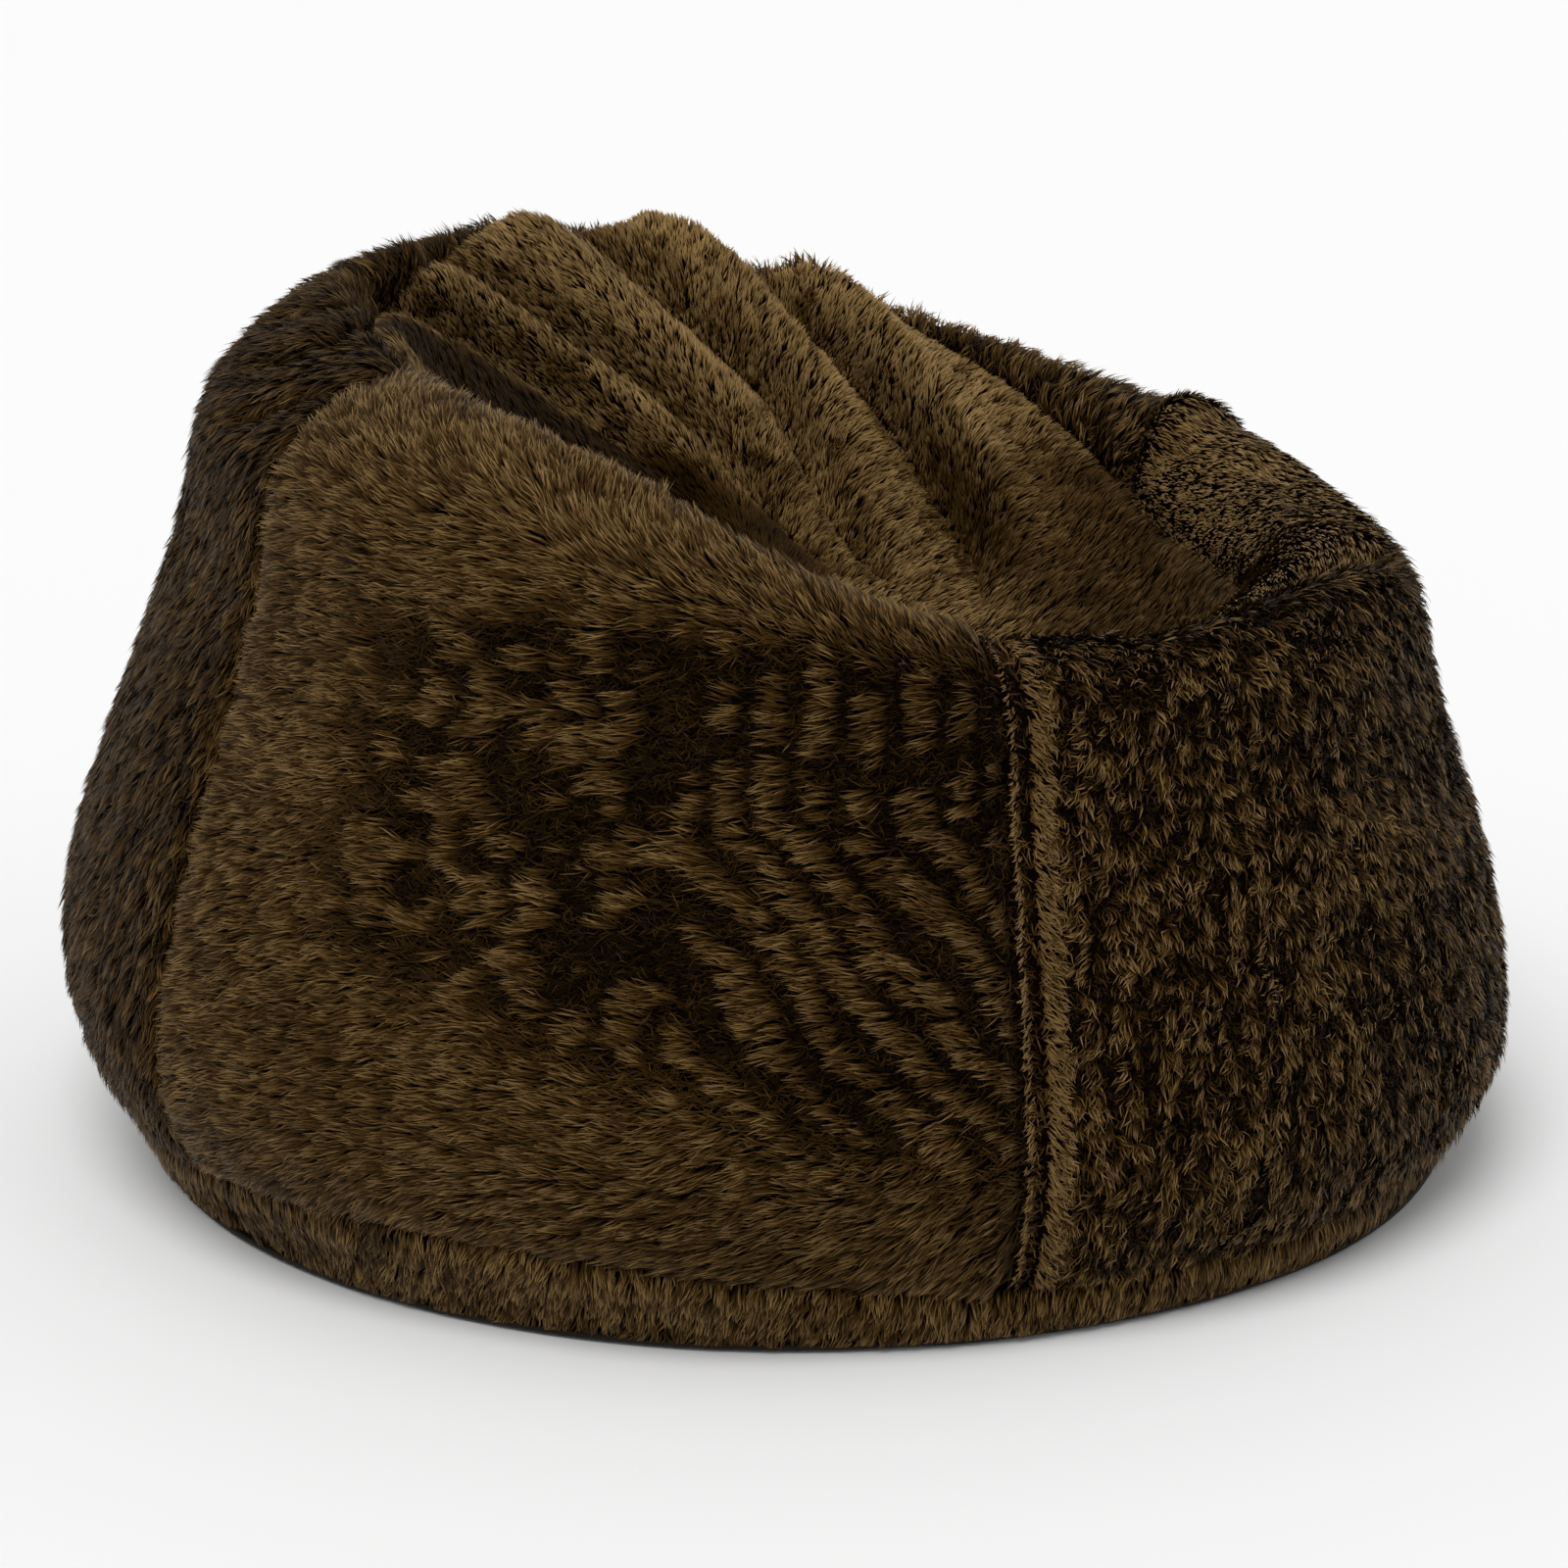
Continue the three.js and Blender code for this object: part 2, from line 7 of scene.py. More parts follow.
import bpy
import numpy as np
from bpy.props import FloatProperty, FloatVectorProperty, PointerProperty
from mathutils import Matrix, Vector

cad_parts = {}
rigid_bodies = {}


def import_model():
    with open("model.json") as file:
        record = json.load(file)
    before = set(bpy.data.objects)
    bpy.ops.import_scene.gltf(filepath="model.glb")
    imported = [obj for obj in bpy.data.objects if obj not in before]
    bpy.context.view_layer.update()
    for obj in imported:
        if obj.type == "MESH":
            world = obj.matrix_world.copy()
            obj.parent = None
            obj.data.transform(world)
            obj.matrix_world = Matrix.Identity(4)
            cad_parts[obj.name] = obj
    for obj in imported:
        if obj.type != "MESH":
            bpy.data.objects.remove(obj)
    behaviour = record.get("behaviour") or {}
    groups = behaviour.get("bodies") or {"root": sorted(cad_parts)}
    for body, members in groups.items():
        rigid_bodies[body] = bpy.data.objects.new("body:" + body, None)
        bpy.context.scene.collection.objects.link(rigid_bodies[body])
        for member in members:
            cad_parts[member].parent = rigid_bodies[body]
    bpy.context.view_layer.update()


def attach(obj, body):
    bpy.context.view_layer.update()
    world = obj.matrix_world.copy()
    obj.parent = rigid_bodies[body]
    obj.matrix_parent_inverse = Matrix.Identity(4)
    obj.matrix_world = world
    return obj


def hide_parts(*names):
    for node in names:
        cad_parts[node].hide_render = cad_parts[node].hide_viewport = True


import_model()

bl_info = {
    "name": "Bean Bag Chair",
    "version": (1, 0, 0),
    "blender": (4, 5, 0),
    "location": "3D View > Sidebar > Bean Bag",
    "description": "Builds a long-pile bean bag chair round its packed frame",
    "category": "Object",
}

# ------------------------------------------------------------------ the bag's shape

# Radius and height of each ring in metres, every 45 degrees from the front by the right-hand side.
RINGS = {
    "foot_radius": (0.415, 0.435, 0.435, 0.410, 0.400, 0.410, 0.415, 0.410),
    "belly_radius": (0.455, 0.475, 0.475, 0.465, 0.460, 0.475, 0.470, 0.460),
    "belly_height": (0.110, 0.090, 0.080, 0.110, 0.120, 0.130, 0.130, 0.120),
    "shoulder_radius": (0.425, 0.430, 0.390, 0.375, 0.375, 0.396, 0.394, 0.412),
    "shoulder_height": (0.320, 0.320, 0.340, 0.370, 0.400, 0.400, 0.400, 0.380),
    "crest_radius": (0.370, 0.350, 0.300, 0.300, 0.280, 0.275, 0.265, 0.315),
    "crest_height": (0.430, 0.425, 0.440, 0.470, 0.545, 0.555, 0.545, 0.525),
    "inner_radius": (0.230, 0.220, 0.200, 0.190, 0.170, 0.170, 0.180, 0.200),
    "inner_height": (0.330, 0.330, 0.350, 0.370, 0.420, 0.420, 0.400, 0.380),
}
BROW_SHARE = 0.74  # how far up from the shoulder to the crest the brow between them is
SEAT_BOTTOM = (0.03, -0.06, 0.27)

# Climb is the place on the upright section: 0 at the foot, 1 belly, 2 shoulder, 3 brow, 4 crest, 5 inner, 6
# the bottom.
CREST_CLIMB = 4.0
POLE_CLIMB = 6.0
POLE_SHARE = 0.997  # how far from the seat's edge to its bottom the grid of its cloth goes

# Seams, as climb every 45 degrees, and upright seams as degrees of turn.
SEAT_EDGE = (4.4, 4.5, 4.62, 4.15, 3.6, 4.15, 4.1, 4.2)
BAND_EDGE = (0.33, 0.39, 0.4, 0.4, 0.4, 0.4, 0.4, 0.57)
BAND_FOOT = 0.07
LINER_FOOT = 0.12
LINER_EDGE = 4.6
FRONT_SEAM, RIGHT_SEAM, BACK_SEAM, LEFT_SEAM = 0, 100, 180, 284

# The front seam: its grooves as (metres to the right of the seam, width, strength), and the middles of the
# narrow ridge and of the combed strip between them.
STITCH_GROOVES = ((-0.0215, 0.0016, 1.0), (-0.0108, 0.0016, 1.0), (0.0105, 0.0030, 0.3))
RIDGE_PLACE, RIDGE_REACH = -0.0162, 0.0045
STRIP_PLACE, STRIP_REACH = -0.0015, 0.0082

# Lengths of the surface that grids are spaced by.
MEAN_RADIUS = 0.45
SEAT_RADIUS = 0.22
SIDE_LENGTH = 0.72
BAND_LENGTH = 0.057
SEAT_LENGTH = 0.3

# Soft folds. Each is (name, points of (turn in degrees, climb), depth, width): depth is metres inwards, or
# outwards where it is negative, and width is the distance at which a fold has nearly faded out.
FOLDS = (
    (
        "seat valley 1",
        ((246, 3.7), (233, 4.15), (218, 4.48), (203, 4.80), (190, 5.10), (176, 5.5)),
        0.030, 0.020,
    ),
    ("seat ridge 1", ((232, 3.6), (223, 4.15), (210, 4.45), (196, 4.75), (182, 5.15)), -0.012, 0.022),
    (
        "seat valley 2",
        ((222, 3.7), (213, 4.2), (202, 4.5), (188, 4.74), (172, 5.06), (154, 5.4)),
        0.028, 0.019,
    ),
    ("seat ridge 2", ((202, 3.4), (198, 3.95), (192, 4.35), (180, 4.65), (164, 5.05)), -0.012, 0.024),
    (
        "seat valley 3",
        ((190, 3.3), (188, 3.9), (180, 4.3), (170, 4.54), (161, 4.72), (153, 5.1), (138, 5.4)),
        0.028, 0.018,
    ),
    ("seat ridge 3", ((179, 3.1), (176, 3.8), (167, 4.2), (157, 4.5), (146, 4.9)), -0.014, 0.024),
    (
        "seat valley 4",
        ((165, 3.2), (164, 3.8), (157, 4.3), (145, 4.56), (132, 4.92), (118, 5.35)),
        0.026, 0.017,
    ),
    (
        "seat ridge 4",
        ((158, 3.0), (157, 3.7), (149, 4.15), (138, 4.42), (124, 4.75), (111, 5.1)),
        -0.018, 0.022,
    ),
    ("left shoulder 1", ((240, 3.2), (249, 3.85), (237, 4.2)), 0.017, 0.016),
    ("left shoulder 2", ((256, 3.1), (264, 3.7), (252, 4.25)), 0.017, 0.015),
    ("left shoulder 3", ((266, 2.9), (279, 3.45), (289, 3.85)), 0.015, 0.014),
    (
        "right rim buckle",
        ((8, 4.0), (18, 4.02), (28, 4.05), (38, 3.92), (48, 3.6), (62, 3.0)),
        0.026, 0.017,
    ),
    ("right rim roll", ((10, 3.6), (26, 3.62), (40, 3.4), (54, 2.9)), -0.008, 0.030),
    ("right corner", ((101, 3.2), (98, 3.9), (92, 4.3)), -0.016, 0.024),
    ("right shoulder dip", ((56, 3.75), (70, 3.8), (86, 3.8)), 0.014, 0.050),
)
SEAM_DEPTH = 0.007
SEAM_WIDTH = 0.011


def around(values, turn):
    """A smooth closed curve through values at equal turns: uniform Catmull-Rom."""
    values = np.asarray(values)
    count = len(values)
    place = (np.asarray(turn) / (2 * np.pi) * count) % count
    at = np.floor(place).astype(int) % count
    share = place - np.floor(place)
    before, start, end, after = (values[(at + step) % count] for step in (-1, 0, 1, 2))
    bend = 2 * before - 5 * start + 4 * end - after
    twist = -before + 3 * start - 3 * end + after
    return 0.5 * (2 * start + (end - before) * share + bend * share**2 + twist * share**3)


def section_points(turn):
    """Radius and height of the upright section's seven points at each turn: foot to the seat's bottom."""
    ring = {name: around(values, turn) for name, values in RINGS.items()}
    brow_radius = ring["crest_radius"] + (ring["shoulder_radius"] - ring["crest_radius"]) * BROW_SHARE
    brow_height = ring["shoulder_height"] + (ring["crest_height"] - ring["shoulder_height"]) * BROW_SHARE
    nothing = np.zeros_like(brow_radius)
    radius = (
        ring["foot_radius"], ring["belly_radius"], ring["shoulder_radius"], brow_radius,
        ring["crest_radius"], ring["inner_radius"], nothing,
    )
    height = (
        nothing, ring["belly_height"], ring["shoulder_height"], brow_height,
        ring["crest_height"], ring["inner_height"], nothing + SEAT_BOTTOM[2],
    )
    return np.stack([np.stack(radius, -1), np.stack(height, -1)], -1)


def section_at(turn, climb):
    """Centripetal Catmull-Rom through the section's points, one segment for each whole step of climb."""
    points = section_points(turn)
    before = 2 * points[..., :1, :] - points[..., 1:2, :]
    after = points[..., -2:-1, :] * np.array([-1.0, 1.0])
    points = np.concatenate([before, points, after], -2)
    at = np.clip(np.floor(climb).astype(int), 0, points.shape[-2] - 4)

    def point(step):
        index = (at + step)[..., None, None].repeat(2, -1)
        return np.take_along_axis(points, index, -2)[..., 0, :]

    corner = [point(step) for step in range(4)]
    gap = [np.sqrt(np.maximum(np.linalg.norm(b - a, axis=-1), 1e-9)) for a, b in zip(corner, corner[1:])]
    knot = [np.zeros_like(gap[0]), gap[0], gap[0] + gap[1], gap[0] + gap[1] + gap[2]]
    here = knot[1] + gap[1] * (climb - at)

    def blend(a, b, start, end):
        share = ((here - start) / (end - start))[..., None]
        return a + (b - a) * share

    first = [blend(corner[k], corner[k + 1], knot[k], knot[k + 1]) for k in range(3)]
    second = [blend(first[k], first[k + 1], knot[k], knot[k + 2]) for k in range(2)]
    return blend(second[0], second[1], knot[1], knot[2])


def smooth_step(value):
    """0 below 0, 1 above 1, and 3v^2 - 2v^3 between them."""
    value = np.clip(value, 0, 1)
    return value * value * (3 - 2 * value)


def outer_surface(turn, climb):
    """The bag's outer surface: the section turned about the upright axis, which past the crest leans
    towards the seat's bottom."""
    turn, climb = np.broadcast_arrays(np.asarray(turn, float), np.asarray(climb, float))
    section = section_at(turn, climb)
    lean = smooth_step((climb - CREST_CLIMB) / (POLE_CLIMB - CREST_CLIMB))
    x = SEAT_BOTTOM[0] * lean + section[..., 0] * np.sin(turn)
    y = SEAT_BOTTOM[1] * lean - section[..., 0] * np.cos(turn)
    return np.stack([x, y, section[..., 1]], -1)


def unit(vectors):
    """Each vector over its own length."""
    return vectors / np.maximum(np.linalg.norm(vectors, axis=-1, keepdims=True), 1e-12)


def outward_normal(turn, climb):
    """The cross product of the surface's slopes along turn and along climb."""
    step = 1e-3
    along_turn = outer_surface(turn + step, climb) - outer_surface(turn - step, climb)
    along_climb = outer_surface(turn, np.minimum(climb + step, POLE_CLIMB))
    along_climb = along_climb - outer_surface(turn, np.maximum(climb - step, 0))
    return unit(np.cross(along_turn, along_climb))


def route_on_surface(points, step=0.006):
    """Points of (turn in degrees, climb) joined by a smooth line on the outer surface, about step apart."""
    points = np.array(points, float)
    ends = np.concatenate([[2 * points[0] - points[1]], points, [2 * points[-1] - points[-2]]])
    count = 24
    share = np.linspace(0, 1, count, endpoint=False)[:, None]
    pieces = []
    for k in range(len(points) - 1):
        a, b, c, d = ends[k : k + 4]
        bend = 2 * a - 5 * b + 4 * c - d
        twist = -a + 3 * b - 3 * c + d
        pieces.append(0.5 * (2 * b + (c - a) * share + bend * share**2 + twist * share**3))
    fine = np.concatenate([*pieces, points[-1:]])
    line = outer_surface(np.radians(fine[:, 0]), fine[:, 1])
    along = np.concatenate([[0], np.cumsum(np.linalg.norm(np.diff(line, axis=0), axis=1))])
    wanted = np.linspace(0, along[-1], max(int(along[-1] / step), 4))
    return np.stack([np.interp(wanted, along, line[:, k]) for k in range(3)], -1)


def distance_to_route(points, route):
    """Each point's distance to a route, and how far along it the nearest place is, from 0 to 1."""
    best = np.full(len(points), np.inf)
    place = np.zeros(len(points))
    for k, (start, end) in enumerate(zip(route, route[1:])):
        line = end - start
        share = np.clip((points - start) @ line / max(line @ line, 1e-12), 0, 1)
        gap = np.linalg.norm(points - start - share[:, None] * line, axis=1)
        nearer = gap < best
        best[nearer] = gap[nearer]
        place[nearer] = (k + share[nearer]) / (len(route) - 1)
    return best, place


def fold_relief(points):
    """Sum of the folds: each is a bell curve across its route, faded in and out over its ends."""
    relief = np.zeros(len(points))
    for _, route_points, depth, width in FOLDS:
        route = route_on_surface(route_points, 0.012)
        gap, place = distance_to_route(points, route)
        fade = smooth_step(place / 0.2) * smooth_step((1 - place) / 0.25)
        sharp = 1.25 if depth > 0 else 2  # valleys are narrow at the bottom, ridges are round
        relief -= depth * fade * np.exp(-((gap / width) ** sharp) * 1.6)
    return relief


def seam_relief(turn, climb, points):
    """Grooves along the seams: a bell curve of the distance to each seam, and one for each of the front's
    grooves."""
    radius = np.hypot(points[:, 0], points[:, 1])
    side = climb < around(SEAT_EDGE, turn)
    relief = np.zeros(len(points))
    for degrees in (RIGHT_SEAM, BACK_SEAM, LEFT_SEAM):
        gap = np.abs(np.angle(np.exp(1j * (turn - math.radians(degrees))))) * radius
        relief -= SEAM_DEPTH * np.exp(-((gap / SEAM_WIDTH) ** 2) * 2) * side
    sway = np.angle(np.exp(1j * turn)) * radius
    side = side * (climb > around(BAND_EDGE, turn) - 0.01)
    for middle, width, strength in STITCH_GROOVES:
        relief -= 0.8 * strength * SEAM_DEPTH * np.exp(-(((sway - middle) / (2 * width)) ** 2)) * side
    edge = around(SEAT_EDGE, turn)
    relief -= SEAM_DEPTH * np.exp(-(((climb - edge) * 0.13 / SEAM_WIDTH) ** 2) * 2)
    band = around(BAND_EDGE, turn)
    relief -= 0.006 * np.exp(-(((climb - band) * 0.11 / 0.008) ** 2) * 2)
    return relief


# ------------------------------------------------------------------ repeatable noise


def lattice(cells, seed):
    """A repeatable number from 0 to 1 for each whole-numbered place, whose bits are stirred by products and
    shifts."""
    cells = cells.astype(np.int64)
    mixed = cells[..., 0] * 73856093 ^ cells[..., 1] * 19349663 ^ cells[..., 2] * 83492791
    mixed = ((mixed ^ seed * 2654435761) & 0xFFFFFFFF).astype(np.uint32)
    for shift, factor in ((15, 2246822519), (13, 3266489917), (16, 668265263)):
        mixed = (mixed ^ (mixed >> np.uint32(shift))) * np.uint32(factor)
    return (mixed ^ (mixed >> np.uint32(15))) / 4294967295.0


def cloud(points, size, seed):
    """Smooth noise from -1 to 1 with lumps of about size: lattice numbers blended across each cell."""
    place = points / size
    base = np.floor(place)
    share = place - base
    share = share * share * (3 - 2 * share)
    total = np.zeros(points.shape[:-1])
    for corner in np.ndindex(2, 2, 2):
        weight = np.prod(np.where(np.array(corner), share, 1 - share), -1)
        total += weight * lattice(base + np.array(corner), seed)
    return 2 * total - 1


def nearest_tuft(points, size, seed):
    """The nearest to each point of a scatter of centres, one in each cube of that size, and that centre's
    cube."""
    cell = np.floor(points / size)
    best = np.full(len(points), np.inf)
    centre = np.zeros_like(points)
    chosen = np.zeros_like(points)
    for step in np.ndindex(3, 3, 3):
        cube = cell + np.array(step) - 1
        jitter = np.stack([lattice(cube, seed + k) for k in range(3)], -1)
        place = (cube + 0.1 + 0.8 * jitter) * size
        gap = ((points - place) ** 2).sum(-1)
        nearer = gap < best
        best[nearer] = gap[nearer]
        centre[nearer] = place[nearer]
        chosen[nearer] = cube[nearer]
    return centre, chosen


# ------------------------------------------------------------------ grids and meshes


def cloth_points(turn, climb, depth, share=1.0):
    """The cover's cloth at that depth below the pile's tips, with that share of its folds and seams."""
    flat_turn, flat_climb = turn.ravel(), climb.ravel()
    base = outer_surface(flat_turn, flat_climb)
    normal = outward_normal(flat_turn, flat_climb)
    normal[flat_climb > POLE_CLIMB - 0.01] = (0, 0, 1)
    relief = share * (fold_relief(base) + seam_relief(flat_turn, flat_climb, base))
    relief += 0.0012 * cloud(base, 0.012, 5) + 0.004 * cloud(base, 0.11, 6)
    return (base + normal * (relief - depth)[:, None]).reshape(*turn.shape, 3)


def grid_frames(points, closed):
    """Unit vectors along the columns, along the rows and outwards, at every point of a grid."""
    if closed:
        along = np.roll(points, -1, 1) - np.roll(points, 1, 1)
    else:
        along = np.gradient(points, axis=1)
    up = np.gradient(points, axis=0)
    normal = unit(np.cross(along, up))
    along = unit(along)
    return along, np.cross(normal, along), normal


def side_grid(start, end, low, high, length, step):
    """Turn and climb on a grid of about step metres between two upright seams, given in degrees, and two
    edges that are a length apart."""
    columns = int(math.radians(end - start) * MEAN_RADIUS / step)
    turn = np.radians(np.linspace(start, end, columns + 1))
    rows = int(length / step)
    share = np.linspace(0, 1, rows + 1)[:, None]
    climb = low(turn) + (high(turn) - low(turn)) * share
    return np.broadcast_to(turn, climb.shape), climb


def seat_grid(step):
    """Turn and climb on rings from the seat panel's edge to just short of the seat's bottom."""
    columns = int(2 * math.pi * SEAT_RADIUS / step)
    turn = np.linspace(0, 2 * np.pi, columns, endpoint=False)
    rows = int(SEAT_LENGTH / step)
    share = np.linspace(0, POLE_SHARE, rows + 1)[:, None]
    climb = around(SEAT_EDGE, turn) + (POLE_CLIMB - around(SEAT_EDGE, turn)) * share
    return np.broadcast_to(turn, climb.shape), climb


def mesh_object(name, points, corners, sizes):
    """A mesh from its points, the corners of all its faces in a row, and each face's number of corners."""
    mesh = bpy.data.meshes.new(name)
    mesh.vertices.add(len(points))
    mesh.vertices.foreach_set("co", np.ascontiguousarray(points, np.float32).ravel())
    mesh.loops.add(len(corners))
    mesh.loops.foreach_set("vertex_index", np.ascontiguousarray(corners, np.int32))
    mesh.polygons.add(len(sizes))
    starts = np.concatenate([[0], np.cumsum(sizes)[:-1]])
    mesh.polygons.foreach_set("loop_start", np.ascontiguousarray(starts, np.int32))
    mesh.polygons.foreach_set("use_smooth", np.ones(len(sizes), bool))
    mesh.update(calc_edges=True)
    obj = bpy.data.objects.new(name, mesh)
    bpy.context.scene.collection.objects.link(obj)
    return obj


def grid_faces(rows, columns, closed):
    """Corners of the quads of a grid of points, row by row. A closed grid joins its last column to its
    first."""
    index = np.arange(rows * columns).reshape(rows, columns)
    right = np.roll(index, -1, 1) if closed else index[:, 1:]
    left = index if closed else index[:, :-1]
    return np.stack([left[:-1], right[:-1], right[1:], left[1:]], -1).reshape(-1, 4)


def grid_object(name, points, closed=False, pole=None):
    """A sheet from a grid of points, with a fan of triangles from its last row to a pole where one is
    given."""
    rows, columns = points.shape[:2]
    quads = grid_faces(rows, columns, closed)
    corners, sizes = quads.ravel(), np.full(len(quads), 4)
    flat = points.reshape(-1, 3)
    if pole is not None:
        last = np.arange(columns) + (rows - 1) * columns
        fan = np.stack([last, np.roll(last, -1), np.full(columns, len(flat))], -1)
        flat = np.concatenate([flat, [pole]])
        corners = np.concatenate([corners, fan.ravel()])
        sizes = np.concatenate([sizes, np.full(columns, 3)])
    return mesh_object(name, flat, corners, sizes)


def give_thickness(obj, thickness):
    """A wall of that thickness behind the face that the normals point from."""
    wall = obj.modifiers.new("Thickness", "SOLIDIFY")
    wall.thickness = thickness
    wall.offset = -1
    return obj


def finish_piece(obj, material, slot, body="bag", replaced=()):
    """Gives a piece its material and body, and hides the nodes that it replaces. The slot is not used."""
    obj.data.materials.append(material)
    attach(obj, body)
    if replaced:
        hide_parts(*replaced)
    return obj


# ------------------------------------------------------------------ pile

STATIONS = (0.0, 0.5, 1.0)  # places along a strand: its root, its middle and its tip
MIDDLE_WIDTH = 0.9  # a strand's width at its middle, as a share of that at its root
STRIP_LENGTH = 0.53  # length of the combed strip's strands, as a share of the setting
STATION_SHADES = (0.02, 0.40, 0.75)  # place on the pile's colour ramp at each station
PATTERN_RADIUS = 0.44  # turns a seam's or a pattern's angle into metres
FRONT_RADIUS = 0.455
PILE_FLOOR = 0.0042  # no strand hangs lower than this, so the base's edge shows below the pile


def grid_area(points, closed):
    """The area of each face of a grid, from the cross product of its diagonals."""
    corner = points.reshape(-1, 3)[grid_faces(*points.shape[:2], closed)]
    return np.linalg.norm(np.cross(corner[:, 2] - corner[:, 0], corner[:, 3] - corner[:, 1]), axis=1) / 2


def scatter(points, closed, count, rng):
    """Random places on a grid, evenly by area: their face's corners, and bilinear weights of the four."""
    quads = grid_faces(*points.shape[:2], closed)
    total = np.cumsum(grid_area(points, closed))
    face = np.searchsorted(total, rng.random(count) * total[-1])
    u, v = rng.random((2, count))
    weights = np.stack([(1 - u) * (1 - v), u * (1 - v), u * v, (1 - u) * v], -1)
    return quads[face], weights


def strand_mesh(name, path, across, widths, shade, outward):
    """Flat strands of one quad and one pointed tip each. path is (strand, station, 3), across the unit
    vector over a strand's width, and widths its width at the root. A strand's own normal is mixed with
    outward, the cloth's normal at its root, so that the coat is lit as a whole."""
    count = len(path)
    half = across * widths[:, None] / 2
    middle = half * MIDDLE_WIDTH
    points = np.stack(
        [path[:, 0] - half, path[:, 0] + half, path[:, 1] - middle, path[:, 1] + middle, path[:, 2]], 1
    )
    pattern = np.array([0, 1, 3, 2, 2, 3, 4])
    corners = (np.arange(count)[:, None] * 5 + pattern).ravel()
    obj = mesh_object(name, points.reshape(-1, 3), corners, np.tile([4, 3], count))
    layer = obj.data.attributes.new("pile_shade", "FLOAT", "POINT")
    by_point = shade[:, [0, 0, 1, 1, 2]]
    layer.data.foreach_set("value", np.ascontiguousarray(by_point, np.float32).ravel())
    own = [unit(np.cross(across, path[:, k + 1] - path[:, k])) for k in (0, 1)]
    mixed = [unit(outward * share + one * (1 - share)) for one, share in zip(own, (0.55, 0.5))]
    normals = np.stack([mixed[0], mixed[0], mixed[1], mixed[1], mixed[1]], 1)
    layer = obj.data.attributes.new("custom_normal", "FLOAT_VECTOR", "POINT")
    layer.data.foreach_set("vector", np.ascontiguousarray(normals, np.float32).ravel())
    side = math.ceil(math.sqrt(count))
    cell = np.stack([np.arange(count) % side, np.arange(count) // side], -1)
    within = np.array([(0.1, 0.05), (0.9, 0.05), (0.1, 0.5), (0.9, 0.5), (0.5, 0.95)])
    places = ((cell[:, None] + within) / side)[:, pattern]
    uv = obj.data.uv_layers.new(name="OFBake")
    uv.data.foreach_set("uv", np.ascontiguousarray(places, np.float32).ravel())
    return obj


def lay_front_left(turn, climb, points):
    """Strands lie towards the left, dropping a little low down and lifting over the arm."""
    over = smooth_step((climb - 2.7) / 1.0)
    low = smooth_step((1.2 - climb) / 0.8)
    return np.radians(190 - 60 * over + 22 * low) + 0.35 * cloud(points, 0.07, 21)


def lay_down(turn, climb, points):
    """Nearly straight down the wall, swaying with a soft noise."""
    return np.radians(-100) + 0.4 * cloud(points, 0.06, 22)


def lay_tousled(turn, climb, points):
    """Down and to the left in curls, and round to the left on the smooth inner wall."""
    smooth = inner_wall(turn, climb)
    tousled = np.radians(-115) + 0.9 * cloud(points, 0.025, 23)
    return tousled * (1 - smooth) + np.radians(-165) * smooth


def lay_up(turn, climb, points):
    """Against climb, which inside the seat is up towards the rim, swaying a little."""
    return np.radians(-95) + 0.3 * cloud(points, 0.06, 24)


def gaps_front_left(turn, climb, points):
    """Where the pile parts on the front: upright patches near the top, slanting ridges below, and scattered
    ones at the left. Each pattern is a sine wave with a wobble, and the parting shows where the wave is
    low."""
    along = np.angle(np.exp(1j * turn)) * PATTERN_RADIUS
    height = points[:, 2]
    wobble = cloud(points, 0.05, 35)
    upright = 1.3 * np.sin(2 * np.pi * along / 0.028 + 2.0 * wobble)
    breaks = np.sin(2 * np.pi * height / 0.055 + 3 * cloud(points, 0.03, 36))
    upright = np.minimum(upright, 0.8 + 1.0 * breaks)
    slant = math.radians(50)
    across = along * math.sin(slant) + height * math.cos(slant)
    down = along * math.cos(slant) - height * math.sin(slant)
    slanting = np.sin(2 * np.pi * across / 0.029 + 2.4 * wobble)
    slanting += 0.7 * cloud(np.stack([across, down * 0.35, 0 * down], -1), 0.02, 37)
    scattered = 1.6 * cloud(points, 0.013, 38) + 0.8 * cloud(points, 0.03, 39)
    low = smooth_step((0.345 - height) / 0.03)
    left = smooth_step((-0.17 - along) / 0.1)
    wave = (upright * (1 - low) + slanting * low) * (1 - left) + scattered * left
    wave += 0.5 * cloud(points, 0.01, 40)
    bottom = np.interp(along, (-0.46, -0.26, -0.05), (0.22, 0.15, 0.09))
    top = np.interp(along, (-0.46, -0.26, -0.02), (0.44, 0.465, 0.425))
    area = smooth_step((height - bottom) / 0.07) * smooth_step((top - height) / 0.03)
    area = area * smooth_step((along + 0.50) / 0.12)
    return smooth_step((0.5 - wave) / 0.4) * area


def inner_wall(turn, climb):
    """How far a place on the right is in the smooth pile above the rim's buckle."""
    turns, climbs = (0, 14, 28, 38, 48, 62, 101), (4.2, 4.0, 4.05, 3.92, 3.6, 3.0, 3.0)
    buckle = np.interp(np.degrees(turn), turns, climbs)
    return smooth_step((climb - buckle) / 0.12)


def gaps_tousled(turn, climb, points):
    """Small hollows between curls all over, in upright rows, whose strands get painted shade, with none on
    the smooth inner wall.
    """
    rows = np.sin(2 * np.pi * turn * PATTERN_RADIUS / 0.020 + 3 * cloud(points, 0.04, 41))
    wave = 1.4 * cloud(points, 0.0055, 42) + 0.45 * rows + 0.25 * cloud(points, 0.03, 43)
    return smooth_step((0.40 - wave) / 0.6) * (1 - inner_wall(turn, climb))


